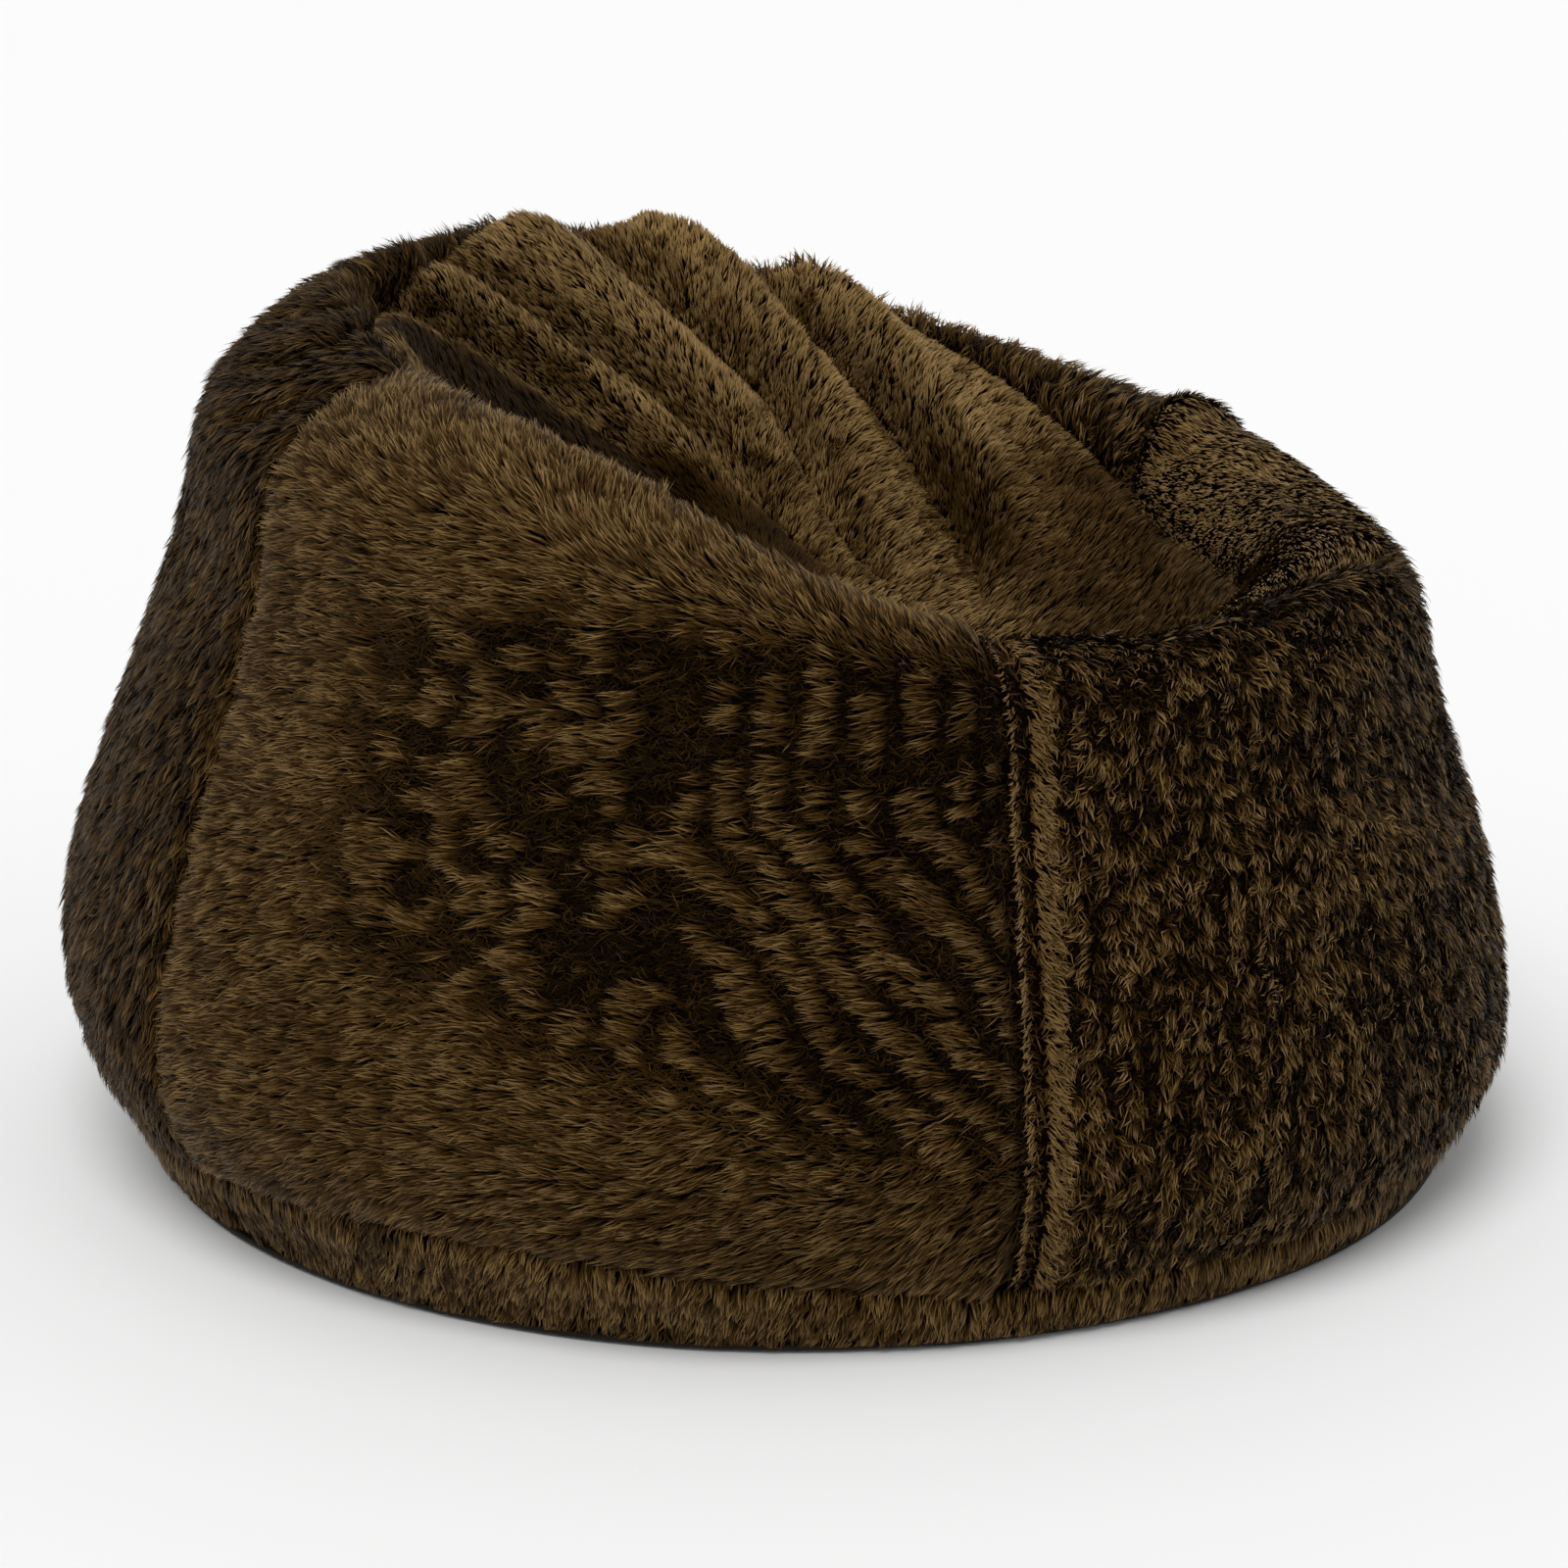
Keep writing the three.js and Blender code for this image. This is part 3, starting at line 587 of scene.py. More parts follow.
def gaps_streaked(turn, climb, points):
    """Fine streaks down the side: partings whose strands get painted shade."""
    stretched = points * np.array([1, 1, 0.35])
    wave = cloud(stretched, 0.006, 44) + 0.25 * cloud(points, 0.04, 45)
    return 0.8 * smooth_step(-wave / 0.6)


def gaps_none(turn, climb, points):
    """A few faint partings."""
    return 0.35 * smooth_step((-0.3 - cloud(points, 0.014, 46)) / 0.4)


def light_front(turn, climb, points):
    """Even, with a painted highlight where the arm turns over and faces up."""
    return 1.06 + 0.18 * smooth_step((climb - 2.6) / 0.9)


def light_right(turn, climb, points):
    """Light on the smooth inner wall, and painted shade in the crease along the buckle below it."""
    smooth = inner_wall(turn, climb)
    # the last term is painted shade along the buckle's crease
    return 1.30 + 0.45 * smooth - 0.75 * np.maximum(1 - np.abs(smooth - 0.5) / 0.4, 0)


def light_left(turn, climb, points):
    """Even, and a little dark."""
    return 0.90 + 0 * turn


def light_rear(turn, climb, points):
    """A painted highlight over the rim, where the panel turns to face up."""
    return 0.85 + 0.45 * smooth_step((climb - 3.2) / 0.5)


def light_seat(turn, climb, points):
    """Painted highlights on the ridges and painted shade in the valleys, a painted shadow over the hollow at
    the seat's right, and painted shade in the tuck behind the left arm."""
    # painted shadow over the hollow at the seat's right
    painted_hollow_shadow = smooth_step((points[:, 0] - 0.14) / 0.05) * smooth_step((0.43 - points[:, 2]) / 0.04)
    degrees = np.degrees(turn) % 360
    tuck = np.interp(
        degrees, (161, 180, 191, 200, 213, 224, 233, 246), (5.33, 5.23, 5.07, 4.99, 4.89, 4.63, 4.5, 4.23)
    )
    # painted shade in the tuck behind the left arm's crest
    painted_tuck_shade = smooth_step((climb - tuck + 0.16) / 0.13) * smooth_step((tuck + 0.35 - climb) / 0.2)
    painted_tuck_shade *= smooth_step((degrees - 150) / 25) * smooth_step((254 - degrees) / 8)
    # painted highlight on the fold ridges and painted shade in the valleys
    painted_fold_light = np.clip(1.60 + fold_relief(points) * 78, 0.1, 1.98)
    return painted_fold_light * (1 - 0.5 * painted_hollow_shadow) * (1 - 0.78 * painted_tuck_shade)


def light_band(turn, climb, points):
    """Even, and light."""
    return 1.25 + 0 * turn


def calm_nowhere(turn, climb):
    """Nowhere calm."""
    return 0 * turn


class Pile(NamedTuple):
    """One kind of pile. Where it is calm it is like the seat's pile."""

    lay: Callable  # the angle that strands lean at
    gaps: Callable  # how far the pile parts, and how much painted shade its partings get
    light: Callable  # how light it is, with painted highlights and shade in some kinds
    calm: Callable  # how calm it is
    density: float  # as a share of the setting
    length: float  # as a share of the setting
    lift: float  # how steeply a strand rises at its root
    tuft_size: float  # metres
    pull: float  # how far strands are drawn into their tuft
    turn_aside: float  # how far whole tufts turn
    curl: float  # sideways, as a share of the length
    speckle: float  # how much darker one strand is than the next


PILES = {
    "front_left": Pile(
        lay_front_left, gaps_front_left, light_front, calm_nowhere, density=1.20, length=0.92, lift=0.38,
        tuft_size=0.010, pull=0.40, turn_aside=0.20, curl=0.05, speckle=0.92,
    ),
    "front_right": Pile(
        lay_tousled, gaps_tousled, light_right, inner_wall, density=1.25, length=0.62, lift=0.55,
        tuft_size=0.0055, pull=0.40, turn_aside=0.8, curl=0.26, speckle=0.90,
    ),
    "back_right": Pile(
        lay_down, gaps_streaked, light_rear, calm_nowhere, density=0.75, length=0.80, lift=0.42,
        tuft_size=0.010, pull=0.50, turn_aside=0.5, curl=0.10, speckle=0.85,
    ),
    "back_left": Pile(
        lay_down, gaps_streaked, light_left, calm_nowhere, density=0.90, length=0.75, lift=0.42,
        tuft_size=0.008, pull=0.55, turn_aside=0.45, curl=0.12, speckle=0.85,
    ),
    "seat": Pile(
        lay_up, gaps_none, light_seat, calm_nowhere, density=1.50, length=0.58, lift=0.34,
        tuft_size=0.008, pull=0.30, turn_aside=0.2, curl=0.05, speckle=0.48,
    ),
    "band": Pile(
        lay_down, gaps_none, light_band, calm_nowhere, density=1.20, length=0.75, lift=0.30,
        tuft_size=0.009, pull=0.40, turn_aside=0.25, curl=0.05, speckle=0.85,
    ),
}
CALM = {"lift": 0.34, "pull": 0.30, "turn_aside": 0.2, "curl": 0.05, "speckle": 0.55}


def front_seam(turn, climb):
    """How far each place is in the combed strip beside the front seam, on the narrow ridge left of it, and
    in one of the grooves along them."""
    sway = np.angle(np.exp(1j * turn)) * FRONT_RADIUS
    below = (climb < around(SEAT_EDGE, turn) + 0.05) * (climb > around(BAND_EDGE, turn) - 0.01)
    wander = 0.0008 * np.sin(climb * 40)
    strip = smooth_step((STRIP_REACH - np.abs(sway - STRIP_PLACE)) / 0.003) * below
    ridge = smooth_step((RIDGE_REACH - np.abs(sway - RIDGE_PLACE - wander)) / 0.0015) * below
    groove = [
        strength * np.exp(-(((sway - middle - wander) / width) ** 2))
        for middle, width, strength in STITCH_GROOVES
    ]
    return strip, ridge, np.clip(sum(groove), 0, 1) * below


def make_pile(name, kind, turn, climb, points, closed, settings, seed):
    """Strands rooted all over a grid of cloth. A strand starts at its root, leans along the pile's lay, is
    drawn towards the middle of its tuft and curls sideways: root + lift * normal + reach * lay + pull +
    curl."""
    pile = PILES[kind]
    rng = np.random.default_rng(seed)
    along, up, normal = grid_frames(points, closed)
    count = int(grid_area(points, closed).sum() * settings.pile_density * pile.density)
    index, weights = scatter(points, closed, count, rng)

    def at(values):
        flat = values.reshape(-1, *values.shape[2:])[index]
        return (flat * weights.reshape(*weights.shape, *[1] * (flat.ndim - 2))).sum(1)

    root = at(points)
    turn_here, climb_here = np.angle(at(np.exp(1j * turn))), at(climb)
    along, up, normal = unit(at(along)), unit(at(up)), unit(at(normal))
    strip, ridge, groove = front_seam(turn_here, climb_here)
    combed = strip + ridge
    calm = pile.calm(turn_here, climb_here)
    lift, pull, turn_aside, curl_share, speckle = (
        getattr(pile, name) + (value - getattr(pile, name)) * calm for name, value in CALM.items()
    )
    # the front seam's grooves count as partings, so they too get painted shade
    gap = np.maximum(pile.gaps(turn_here, climb_here, root) * (1 - combed), 0.9 * groove)
    centre, cube = nearest_tuft(root, pile.tuft_size, seed)
    tuft = [lattice(cube, seed + 40 + k) for k in range(4)]
    angle = pile.lay(turn_here, climb_here, root) + turn_aside * (2 * tuft[0] - 1) * (1 + gap)
    angle += (np.radians(-40) - angle) * strip + (np.radians(-140) - angle) * ridge
    angle += rng.normal(0, 1, count) * (0.13 + 0.6 * gap + 0.15 * combed)
    toward_lay = np.cos(angle)[:, None] * along + np.sin(angle)[:, None] * up
    length = settings.pile_length * (pile.length + (STRIP_LENGTH - pile.length) * strip)
    length *= (0.9 + 0.2 * tuft[1]) * rng.uniform(0.7, 1.1, count)
    length *= (1 - 0.45 * gap) * (1 - 0.6 * ridge)
    rise = lift * (0.7 + 0.6 * tuft[2]) * (1 - 0.2 * gap)
    toward = centre + length[:, None] * 0.3 * toward_lay - root
    toward -= (toward * normal).sum(-1, keepdims=True) * normal
    toward = np.clip(toward, -pile.tuft_size, pile.tuft_size)
    curl = rng.normal(0, 1, count) * (curl_share + 0.15 * gap) * length
    sideways = np.cross(normal, toward_lay)
    path = []
    for station in STATIONS:
        lifted = rise * (1 - (1 - station) ** 1.7)
        path.append(
            root
            + normal * (lifted * length)[:, None]
            + toward_lay * (0.88 * station**1.2 * length)[:, None]
            + toward * (pull * station**1.3 * (1 - combed))[:, None]
            + sideways * (curl * math.sin(station * 2.6))[:, None]
        )
    path = np.stack(path, 1)
    path[..., 2] = np.maximum(path[..., 2], PILE_FLOOR)
    heading = unit(path[:, -1] - path[:, 0])
    across = unit(np.cross(normal, heading))
    tilt = rng.normal(0, 0.4, count)[:, None]
    across = unit(across * np.cos(tilt) + np.cross(heading, across) * np.sin(tilt))
    across = np.where(((np.cross(across, heading) * normal).sum(-1) < 0)[:, None], -across, across)
    widths = settings.pile_width * rng.uniform(0.7, 1.3, count) * (1 - 0.35 * gap)
    tone = pile.light(turn_here, climb_here, root) * (1 - speckle * (1 - rng.random(count) ** 0.6))
    tone *= 0.8 + 0.4 * tuft[3]
    tone += ((1.05 - tone) * strip + (1.3 - tone) * ridge) * 0.6
    # painted shade: strands in partings and grooves are darkened as if shaded by the pile around them
    tone *= 1 - gap * np.where(rng.random(count) < 0.3, 0.45, 0.97)
    shade = np.array(STATION_SHADES) * tone[:, None]
    shade += np.array([0.35, 0.15, 0.0]) * combed[:, None]
    return strand_mesh(name, path, across, widths, np.clip(shade, 0, 1), normal)


# ------------------------------------------------------------------ materials


def new_material(name, roughness=0.8, **sockets):
    """A material whose shader sockets are set by name, with its node tree and shader."""
    material = bpy.data.materials.new(name)
    material.use_nodes = True
    shader = material.node_tree.nodes["Principled BSDF"]
    shader.inputs["Roughness"].default_value = roughness
    for socket, value in sockets.items():
        shader.inputs[socket.replace("_", " ")].default_value = value
    return material, material.node_tree, shader


def ramp(tree, stops):
    """A colour ramp through stops of (place, colour)."""
    node = tree.nodes.new("ShaderNodeValToRGB")
    band = node.color_ramp
    while len(band.elements) < len(stops):
        band.elements.new(0.5)
    for element, (place, colour) in zip(band.elements, stops):
        element.position = place
        element.color = (*colour, 1)
    return node


def weave_group():
    """A node group for plain-woven cloth: crossing threads of a given number to the metre, as a height and
    a mask."""
    found = bpy.data.node_groups.get("Plain weave")
    if found:
        return found
    group = bpy.data.node_groups.new("Plain weave", "ShaderNodeTree")
    group.interface.new_socket("Vector", in_out="INPUT", socket_type="NodeSocketVector")
    threads = group.interface.new_socket("Threads per metre", in_out="INPUT", socket_type="NodeSocketFloat")
    threads.default_value = 900
    group.interface.new_socket("Height", in_out="OUTPUT", socket_type="NodeSocketFloat")
    group.interface.new_socket("Wear", in_out="OUTPUT", socket_type="NodeSocketFloat")
    nodes, links = group.nodes, group.links
    source, sink = nodes.new("NodeGroupInput"), nodes.new("NodeGroupOutput")
    scaled = nodes.new("ShaderNodeVectorMath")
    scaled.operation = "SCALE"
    links.new(source.outputs["Vector"], scaled.inputs[0])
    links.new(source.outputs["Threads per metre"], scaled.inputs["Scale"])
    parts = nodes.new("ShaderNodeSeparateXYZ")
    links.new(scaled.outputs[0], parts.inputs[0])

    def math_node(operation, first, second=None):
        node = nodes.new("ShaderNodeMath")
        node.operation = operation
        for socket, value in zip(node.inputs, (first, second)):
            if value is None:
                continue
            if isinstance(value, (int, float)):
                socket.default_value = value
            else:
                links.new(value, socket)
        return node.outputs[0]

    across = math_node("SINE", math_node("MULTIPLY", parts.outputs["X"], math.pi))
    down = math_node("SINE", math_node("MULTIPLY", parts.outputs["Y"], math.pi))
    height = math_node("ABSOLUTE", math_node("MULTIPLY", across, down))
    links.new(math_node("POWER", height, 0.6), sink.inputs["Height"])
    noise = nodes.new("ShaderNodeTexNoise")
    noise.inputs["Scale"].default_value = 18
    noise.inputs["Detail"].default_value = 6
    links.new(source.outputs["Vector"], noise.inputs["Vector"])
    links.new(noise.outputs["Fac"], sink.inputs["Wear"])
    return group


def pile_material(name, root, middle, tip):
    """Pile: dark at the root and lighter to the tip, with soft patches where the strands catch the
    light."""
    material, tree, shader = new_material(
        name, 0.5, Sheen_Weight=0.01, Sheen_Roughness=0.4, Specular_IOR_Level=0.12
    )
    shader.inputs["Sheen Tint"].default_value = (0.8, 0.6, 0.35, 1)
    shader.inputs["Specular Tint"].default_value = (0.8, 0.5, 0.2, 1)
    shade = tree.nodes.new("ShaderNodeAttribute")
    shade.attribute_name = "pile_shade"
    place = tree.nodes.new("ShaderNodeTexCoord")
    patches = tree.nodes.new("ShaderNodeTexNoise")
    patches.inputs["Scale"].default_value = 14
    patches.inputs["Detail"].default_value = 3
    tree.links.new(place.outputs["Object"], patches.inputs["Vector"])
    spread = tree.nodes.new("ShaderNodeMapRange")
    spread.inputs["To Min"].default_value = -0.14
    spread.inputs["To Max"].default_value = 0.14
    tree.links.new(patches.outputs["Fac"], spread.inputs["Value"])
    total = tree.nodes.new("ShaderNodeMath")
    total.operation = "ADD"
    total.use_clamp = True
    tree.links.new(shade.outputs["Fac"], total.inputs[0])
    tree.links.new(spread.outputs["Result"], total.inputs[1])
    colours = ramp(tree, ((0.0, root), (0.33, middle), (0.75, tip), (1.0, [1.6 * value for value in tip])))
    tree.links.new(total.outputs[0], colours.inputs["Fac"])
    tree.links.new(colours.outputs["Color"], shader.inputs["Base Color"])
    return material


def matted_material(name, dark, light, scale, bump_depth):
    """Short matted fibres, as fine specks between two colours with a bump to match."""
    material, tree, shader = new_material(name, 0.95, Specular_IOR_Level=0.02)
    place = tree.nodes.new("ShaderNodeTexCoord")
    fibres = tree.nodes.new("ShaderNodeTexNoise")
    fibres.inputs["Scale"].default_value = scale
    fibres.inputs["Detail"].default_value = 4
    tree.links.new(place.outputs["Object"], fibres.inputs["Vector"])
    colours = ramp(tree, ((0.35, dark), (0.75, light)))
    tree.links.new(fibres.outputs["Fac"], colours.inputs["Fac"])
    tree.links.new(colours.outputs["Color"], shader.inputs["Base Color"])
    bump = tree.nodes.new("ShaderNodeBump")
    bump.inputs["Strength"].default_value = 0.6
    bump.inputs["Distance"].default_value = bump_depth
    tree.links.new(fibres.outputs["Fac"], bump.inputs["Height"])
    tree.links.new(bump.outputs["Normal"], shader.inputs["Normal"])
    return material


def bead_material(name):
    """Packed foam beads: each cell of a Voronoi pattern is a round bead, with painted shade where beads
    meet.
    """
    material, tree, shader = new_material(name, 0.7)
    place = tree.nodes.new("ShaderNodeTexCoord")
    beads = tree.nodes.new("ShaderNodeTexVoronoi")
    beads.inputs["Scale"].default_value = 220
    tree.links.new(place.outputs["Object"], beads.inputs["Vector"])
    # pale in a bead's middle to near-black where beads meet: painted shade between the beads
    colours = ramp(tree, ((0.0, (0.86, 0.86, 0.84)), (0.6, (0.62, 0.62, 0.60)), (1.0, (0.2, 0.2, 0.19))))
    tree.links.new(beads.outputs["Distance"], colours.inputs["Fac"])
    tree.links.new(colours.outputs["Color"], shader.inputs["Base Color"])
    bump = tree.nodes.new("ShaderNodeBump")
    bump.invert = True
    bump.inputs["Distance"].default_value = 0.003
    tree.links.new(beads.outputs["Distance"], bump.inputs["Height"])
    tree.links.new(bump.outputs["Normal"], shader.inputs["Normal"])
    return material


def metal_material(name):
    """Brushed zinc: fine scratches along the zip in its roughness, and a little tarnish."""
    material, tree, shader = new_material(name, 0.35, Metallic=1.0)
    place = tree.nodes.new("ShaderNodeTexCoord")
    stretch = tree.nodes.new("ShaderNodeMapping")
    stretch.inputs["Scale"].default_value = (60, 1500, 1500)
    scratches = tree.nodes.new("ShaderNodeTexNoise")
    scratches.inputs["Scale"].default_value = 1
    tree.links.new(place.outputs["Object"], stretch.inputs["Vector"])
    tree.links.new(stretch.outputs["Vector"], scratches.inputs["Vector"])
    rough = tree.nodes.new("ShaderNodeMapRange")
    rough.inputs["To Min"].default_value = 0.25
    rough.inputs["To Max"].default_value = 0.55
    tree.links.new(scratches.outputs["Fac"], rough.inputs["Value"])
    tree.links.new(rough.outputs["Result"], shader.inputs["Roughness"])
    tarnish = ramp(tree, ((0.3, (0.16, 0.15, 0.14)), (0.7, (0.34, 0.33, 0.31))))
    tree.links.new(scratches.outputs["Fac"], tarnish.inputs["Fac"])
    tree.links.new(tarnish.outputs["Color"], shader.inputs["Base Color"])
    return material


def woven_material(name, dark, light, threads, roughness=0.85):
    """Plain-woven cloth of one colour, paler on top of its threads as a painted highlight with painted shade
    between them, and a little uneven all over.
    """
    material, tree, shader = new_material(name, roughness, Sheen_Weight=0.02, Specular_IOR_Level=0.15)
    place = tree.nodes.new("ShaderNodeTexCoord")
    weave = tree.nodes.new("ShaderNodeGroup")
    weave.node_tree = weave_group()
    weave.inputs["Threads per metre"].default_value = threads
    tree.links.new(place.outputs["Object"], weave.inputs["Vector"])
    blend = tree.nodes.new("ShaderNodeMath")
    blend.operation = "MULTIPLY"
    tree.links.new(weave.outputs["Height"], blend.inputs[0])
    tree.links.new(weave.outputs["Wear"], blend.inputs[1])
    # the weave's height gives painted shade between the threads and a painted highlight on their tops, and
    # the noise makes it uneven
    colours = ramp(tree, ((0.1, dark), (0.7, light)))
    tree.links.new(blend.outputs[0], colours.inputs["Fac"])
    tree.links.new(colours.outputs["Color"], shader.inputs["Base Color"])
    bump = tree.nodes.new("ShaderNodeBump")
    bump.inputs["Strength"].default_value = 0.5
    bump.inputs["Distance"].default_value = 0.0006
    tree.links.new(weave.outputs["Height"], bump.inputs["Height"])
    tree.links.new(bump.outputs["Normal"], shader.inputs["Normal"])
    return material


# ------------------------------------------------------------------ settings


class BagSettings(bpy.types.PropertyGroup):
    """Sizes and colours of the pile and its cloth."""
    pile_length: FloatProperty(
        name="Pile length", description="A strand's length", default=0.017, unit="LENGTH", subtype="DISTANCE"
    )
    pile_width: FloatProperty(
        name="Strand width", description="A strand's width at its root", default=0.00108, unit="LENGTH",
        precision=4,
    )
    pile_density: FloatProperty(name="Pile density", description="Strands per square metre", default=208000)
    cloth_depth: FloatProperty(
        name="Cloth depth", description="How far the cloth lies below the bag's surface", default=0.0055,
        unit="LENGTH",
    )
    cloth_step: FloatProperty(
        name="Cloth step", description="Spacing of the cloth's points", default=0.006, unit="LENGTH"
    )
    root_colour: FloatVectorProperty(
        name="Root colour", description="At the roots", default=(0.0015, 0.0003, 0.0001), subtype="COLOR"
    )
    middle_colour: FloatVectorProperty(
        name="Middle colour", description="Half-way up", default=(0.046, 0.022, 0.0048), subtype="COLOR"
    )
    tip_colour: FloatVectorProperty(
        name="Tip colour", description="Pile at its tips", default=(0.215, 0.134, 0.052), subtype="COLOR"
    )


class StageSettings(bpy.types.PropertyGroup):
    """Where the camera stands, and the light."""
    azimuth: FloatProperty(
        name="Azimuth", description="Camera's turn round the chair", default=math.radians(-21),
        subtype="ANGLE",
    )
    elevation: FloatProperty(
        name="Elevation", description="Camera's height", default=math.radians(17), subtype="ANGLE"
    )
    distance: FloatProperty(
        name="Distance", description="Camera to the point it looks at", default=3.4, unit="LENGTH"
    )
    width: FloatProperty(
        name="Width", description="Width of the picture at that point", default=1.027, unit="LENGTH"
    )
    look_height: FloatProperty(
        name="Look height", description="Height of the point looked at", default=0.228, unit="LENGTH"
    )
    sky: FloatProperty(name="Sky", description="Strength of the even light", default=0.65)
    lamp: FloatProperty(name="Lamp", description="Strength of the overhead light", default=1.7)


# ------------------------------------------------------------------ operators


FLOOR_HALF = 20
FLOOR_DROP = 0.0005  # keeps the floor clear of the base's underside
LAMP_SIDE = (-0.35, -0.45, 1.0)
LAMP_ANGLE = math.radians(35)
SENSOR_WIDTH = 36


class BEANBAG_OT_stage(bpy.types.Operator):
    """Makes the floor, the even light, the overhead lamp and the camera"""

    bl_idname = "beanbag.stage"
    bl_label = "Stage"

    def execute(self, context):
        settings = context.scene.bean_bag_stage
        corners = FLOOR_HALF * np.array([(-1, -1, 0), (1, -1, 0), (1, 1, 0), (-1, 1, 0)], float)
        floor = mesh_object("floor", corners - (0, 0, FLOOR_DROP), np.arange(4), np.array([4]))
        material, _, shader = new_material("Pale floor", 0.9)
        shader.inputs["Base Color"].default_value = (0.88, 0.88, 0.88, 1)
        floor.data.materials.append(material)
        world = bpy.data.worlds.new("Even light")
        context.scene.world = world
        world.use_nodes = True
        world.node_tree.nodes["Background"].inputs["Color"].default_value = (1, 1, 1, 1)
        world.node_tree.nodes["Background"].inputs["Strength"].default_value = settings.sky
        sun = bpy.data.lights.new("lamp", "SUN")
        sun.energy = settings.lamp
        sun.angle = LAMP_ANGLE
        lamp = bpy.data.objects.new("lamp", sun)
        lamp.rotation_euler = Vector(LAMP_SIDE).to_track_quat("Z", "Y").to_euler()
        context.scene.collection.objects.link(lamp)
        camera_data = bpy.data.cameras.new("camera")
        camera_data.sensor_width = SENSOR_WIDTH
        camera_data.lens = camera_data.sensor_width * settings.distance / settings.width
        camera = bpy.data.objects.new("camera", camera_data)
        context.scene.collection.objects.link(camera)
        a, e = settings.azimuth, settings.elevation
        back = Vector((math.sin(a) * math.cos(e), -math.cos(a) * math.cos(e), math.sin(e)))
        camera.location = Vector((0, 0, settings.look_height)) + back * settings.distance
        camera.rotation_euler = back.to_track_quat("Z", "Y").to_euler()
        context.scene.camera = camera
        context.scene.view_settings.view_transform = "Standard"
        return {"FINISHED"}


SIDE_SEED, SEAT_SEED, BAND_SEED = 100, 160, 180
COVER_WALL = 0.0015
LINER_WALL = 0.0008
HALVES = {"front": (-90, 90), "rear": (90, 270)}
SIDES = {
    "front_left": (LEFT_SEAM, FRONT_SEAM + 360),
    "front_right": (FRONT_SEAM, RIGHT_SEAM),
    "back_right": (RIGHT_SEAM, BACK_SEAM),
    "back_left": (BACK_SEAM, LEFT_SEAM),
}


def band_edge(turn):
    """The climb of the seam between the band and the sides."""
    return around(BAND_EDGE, turn)


def seat_edge(turn):
    """The climb of the seam between the sides and the seat."""
    return around(SEAT_EDGE, turn)


def level(climb):
    """An edge at the same climb all round."""
    return lambda turn: 0 * turn + climb


def cloth_piece(name, points, closed, node, slot, pole=None):
    """One panel's cloth as a thin wall with the undercoat, in place of the panel's node."""
    cloth = grid_object(name, points, closed, pole)
    give_thickness(cloth, COVER_WALL)
    finish_piece(cloth, bpy.data.materials["Undercoat"], slot, replaced=[node])
    return cloth


def split_rows(points, turn, climb, parts):
    """The same grid in bands of rows of about equal area, each sharing its edge row with the next."""
    rows = points.shape[0] - 1
    areas = np.array([grid_area(points[k : k + 2], False).sum() for k in range(rows)])
    total = np.cumsum(areas) / areas.sum()
    cuts = [0, *(int(np.searchsorted(total, k / parts)) for k in range(1, parts)), rows]
    for low, high in zip(cuts, cuts[1:]):
        keep = slice(low, high + 1)
        yield points[keep], turn[keep], climb[keep]


class BEANBAG_OT_cover(bpy.types.Operator):
    """Makes the cover's four side panels and its seat panel, each as a cloth with its pile"""

    bl_idname = "beanbag.cover"
    bl_label = "Cover"

    def execute(self, context):
        settings = context.scene.bean_bag
        pile_brown = pile_material(
            "Long pile", settings.root_colour[:], settings.middle_colour[:], settings.tip_colour[:]
        )
        # The undercoat's near-black is partly the backing cloth's own colour and partly painted shade under
        # the pile.
        matted_material("Undercoat", (0.0008, 0.0002, 0.0001), (0.004, 0.0016, 0.0004), 420, 0.002)
        for number, (kind, (start, end)) in enumerate(SIDES.items()):
            turn, climb = side_grid(start, end, band_edge, seat_edge, SIDE_LENGTH, settings.cloth_step)
            points = cloth_points(turn, climb, settings.cloth_depth)
            for part, (some, its_turn, its_climb) in enumerate(split_rows(points, turn, climb, 2)):
                name = f"{kind}_pile_{part + 1}"
                seed = SIDE_SEED + 10 * number + part
                pile = make_pile(name, kind, its_turn, its_climb, some, False, settings, seed)
                finish_piece(pile, pile_brown, "long_pile")
            cloth_piece(f"{kind}_cloth", points, False, f"{kind}_panel", "long_pile")
        turn, climb = seat_grid(settings.cloth_step)
        points = cloth_points(turn, climb, settings.cloth_depth)
        for part, (some, its_turn, its_climb) in enumerate(split_rows(points, turn, climb, 2)):
            name = f"seat_pile_{part + 1}"
            pile = make_pile(name, "seat", its_turn, its_climb, some, True, settings, SEAT_SEED + part)
            finish_piece(pile, pile_brown, "seat_pile")
        pole = np.array(SEAT_BOTTOM) - (0, 0, settings.cloth_depth)
        cloth_piece("seat_cloth", points, True, "seat_panel", "seat_pile", pole)
        return {"FINISHED"}


class BEANBAG_OT_band(bpy.types.Operator):
    """Makes the strip of pile round the chair's foot, in its front and rear lengths"""

    bl_idname = "beanbag.band"
    bl_label = "Band"

    def execute(self, context):
        settings = context.scene.bean_bag
        for number, (name, (start, end)) in enumerate(HALVES.items()):
            edges = level(BAND_FOOT), band_edge
            turn, climb = side_grid(start, end, *edges, BAND_LENGTH, settings.cloth_step)
            points = cloth_points(turn, climb, settings.cloth_depth)
            seed = BAND_SEED + number
            pile = make_pile(f"band_pile_{name}", "band", turn, climb, points, False, settings, seed)
            finish_piece(pile, bpy.data.materials["Long pile"], "long_pile")
            cloth_piece(f"band_cloth_{name}", points, False, f"base_band_{name}", "long_pile")
        return {"FINISHED"}


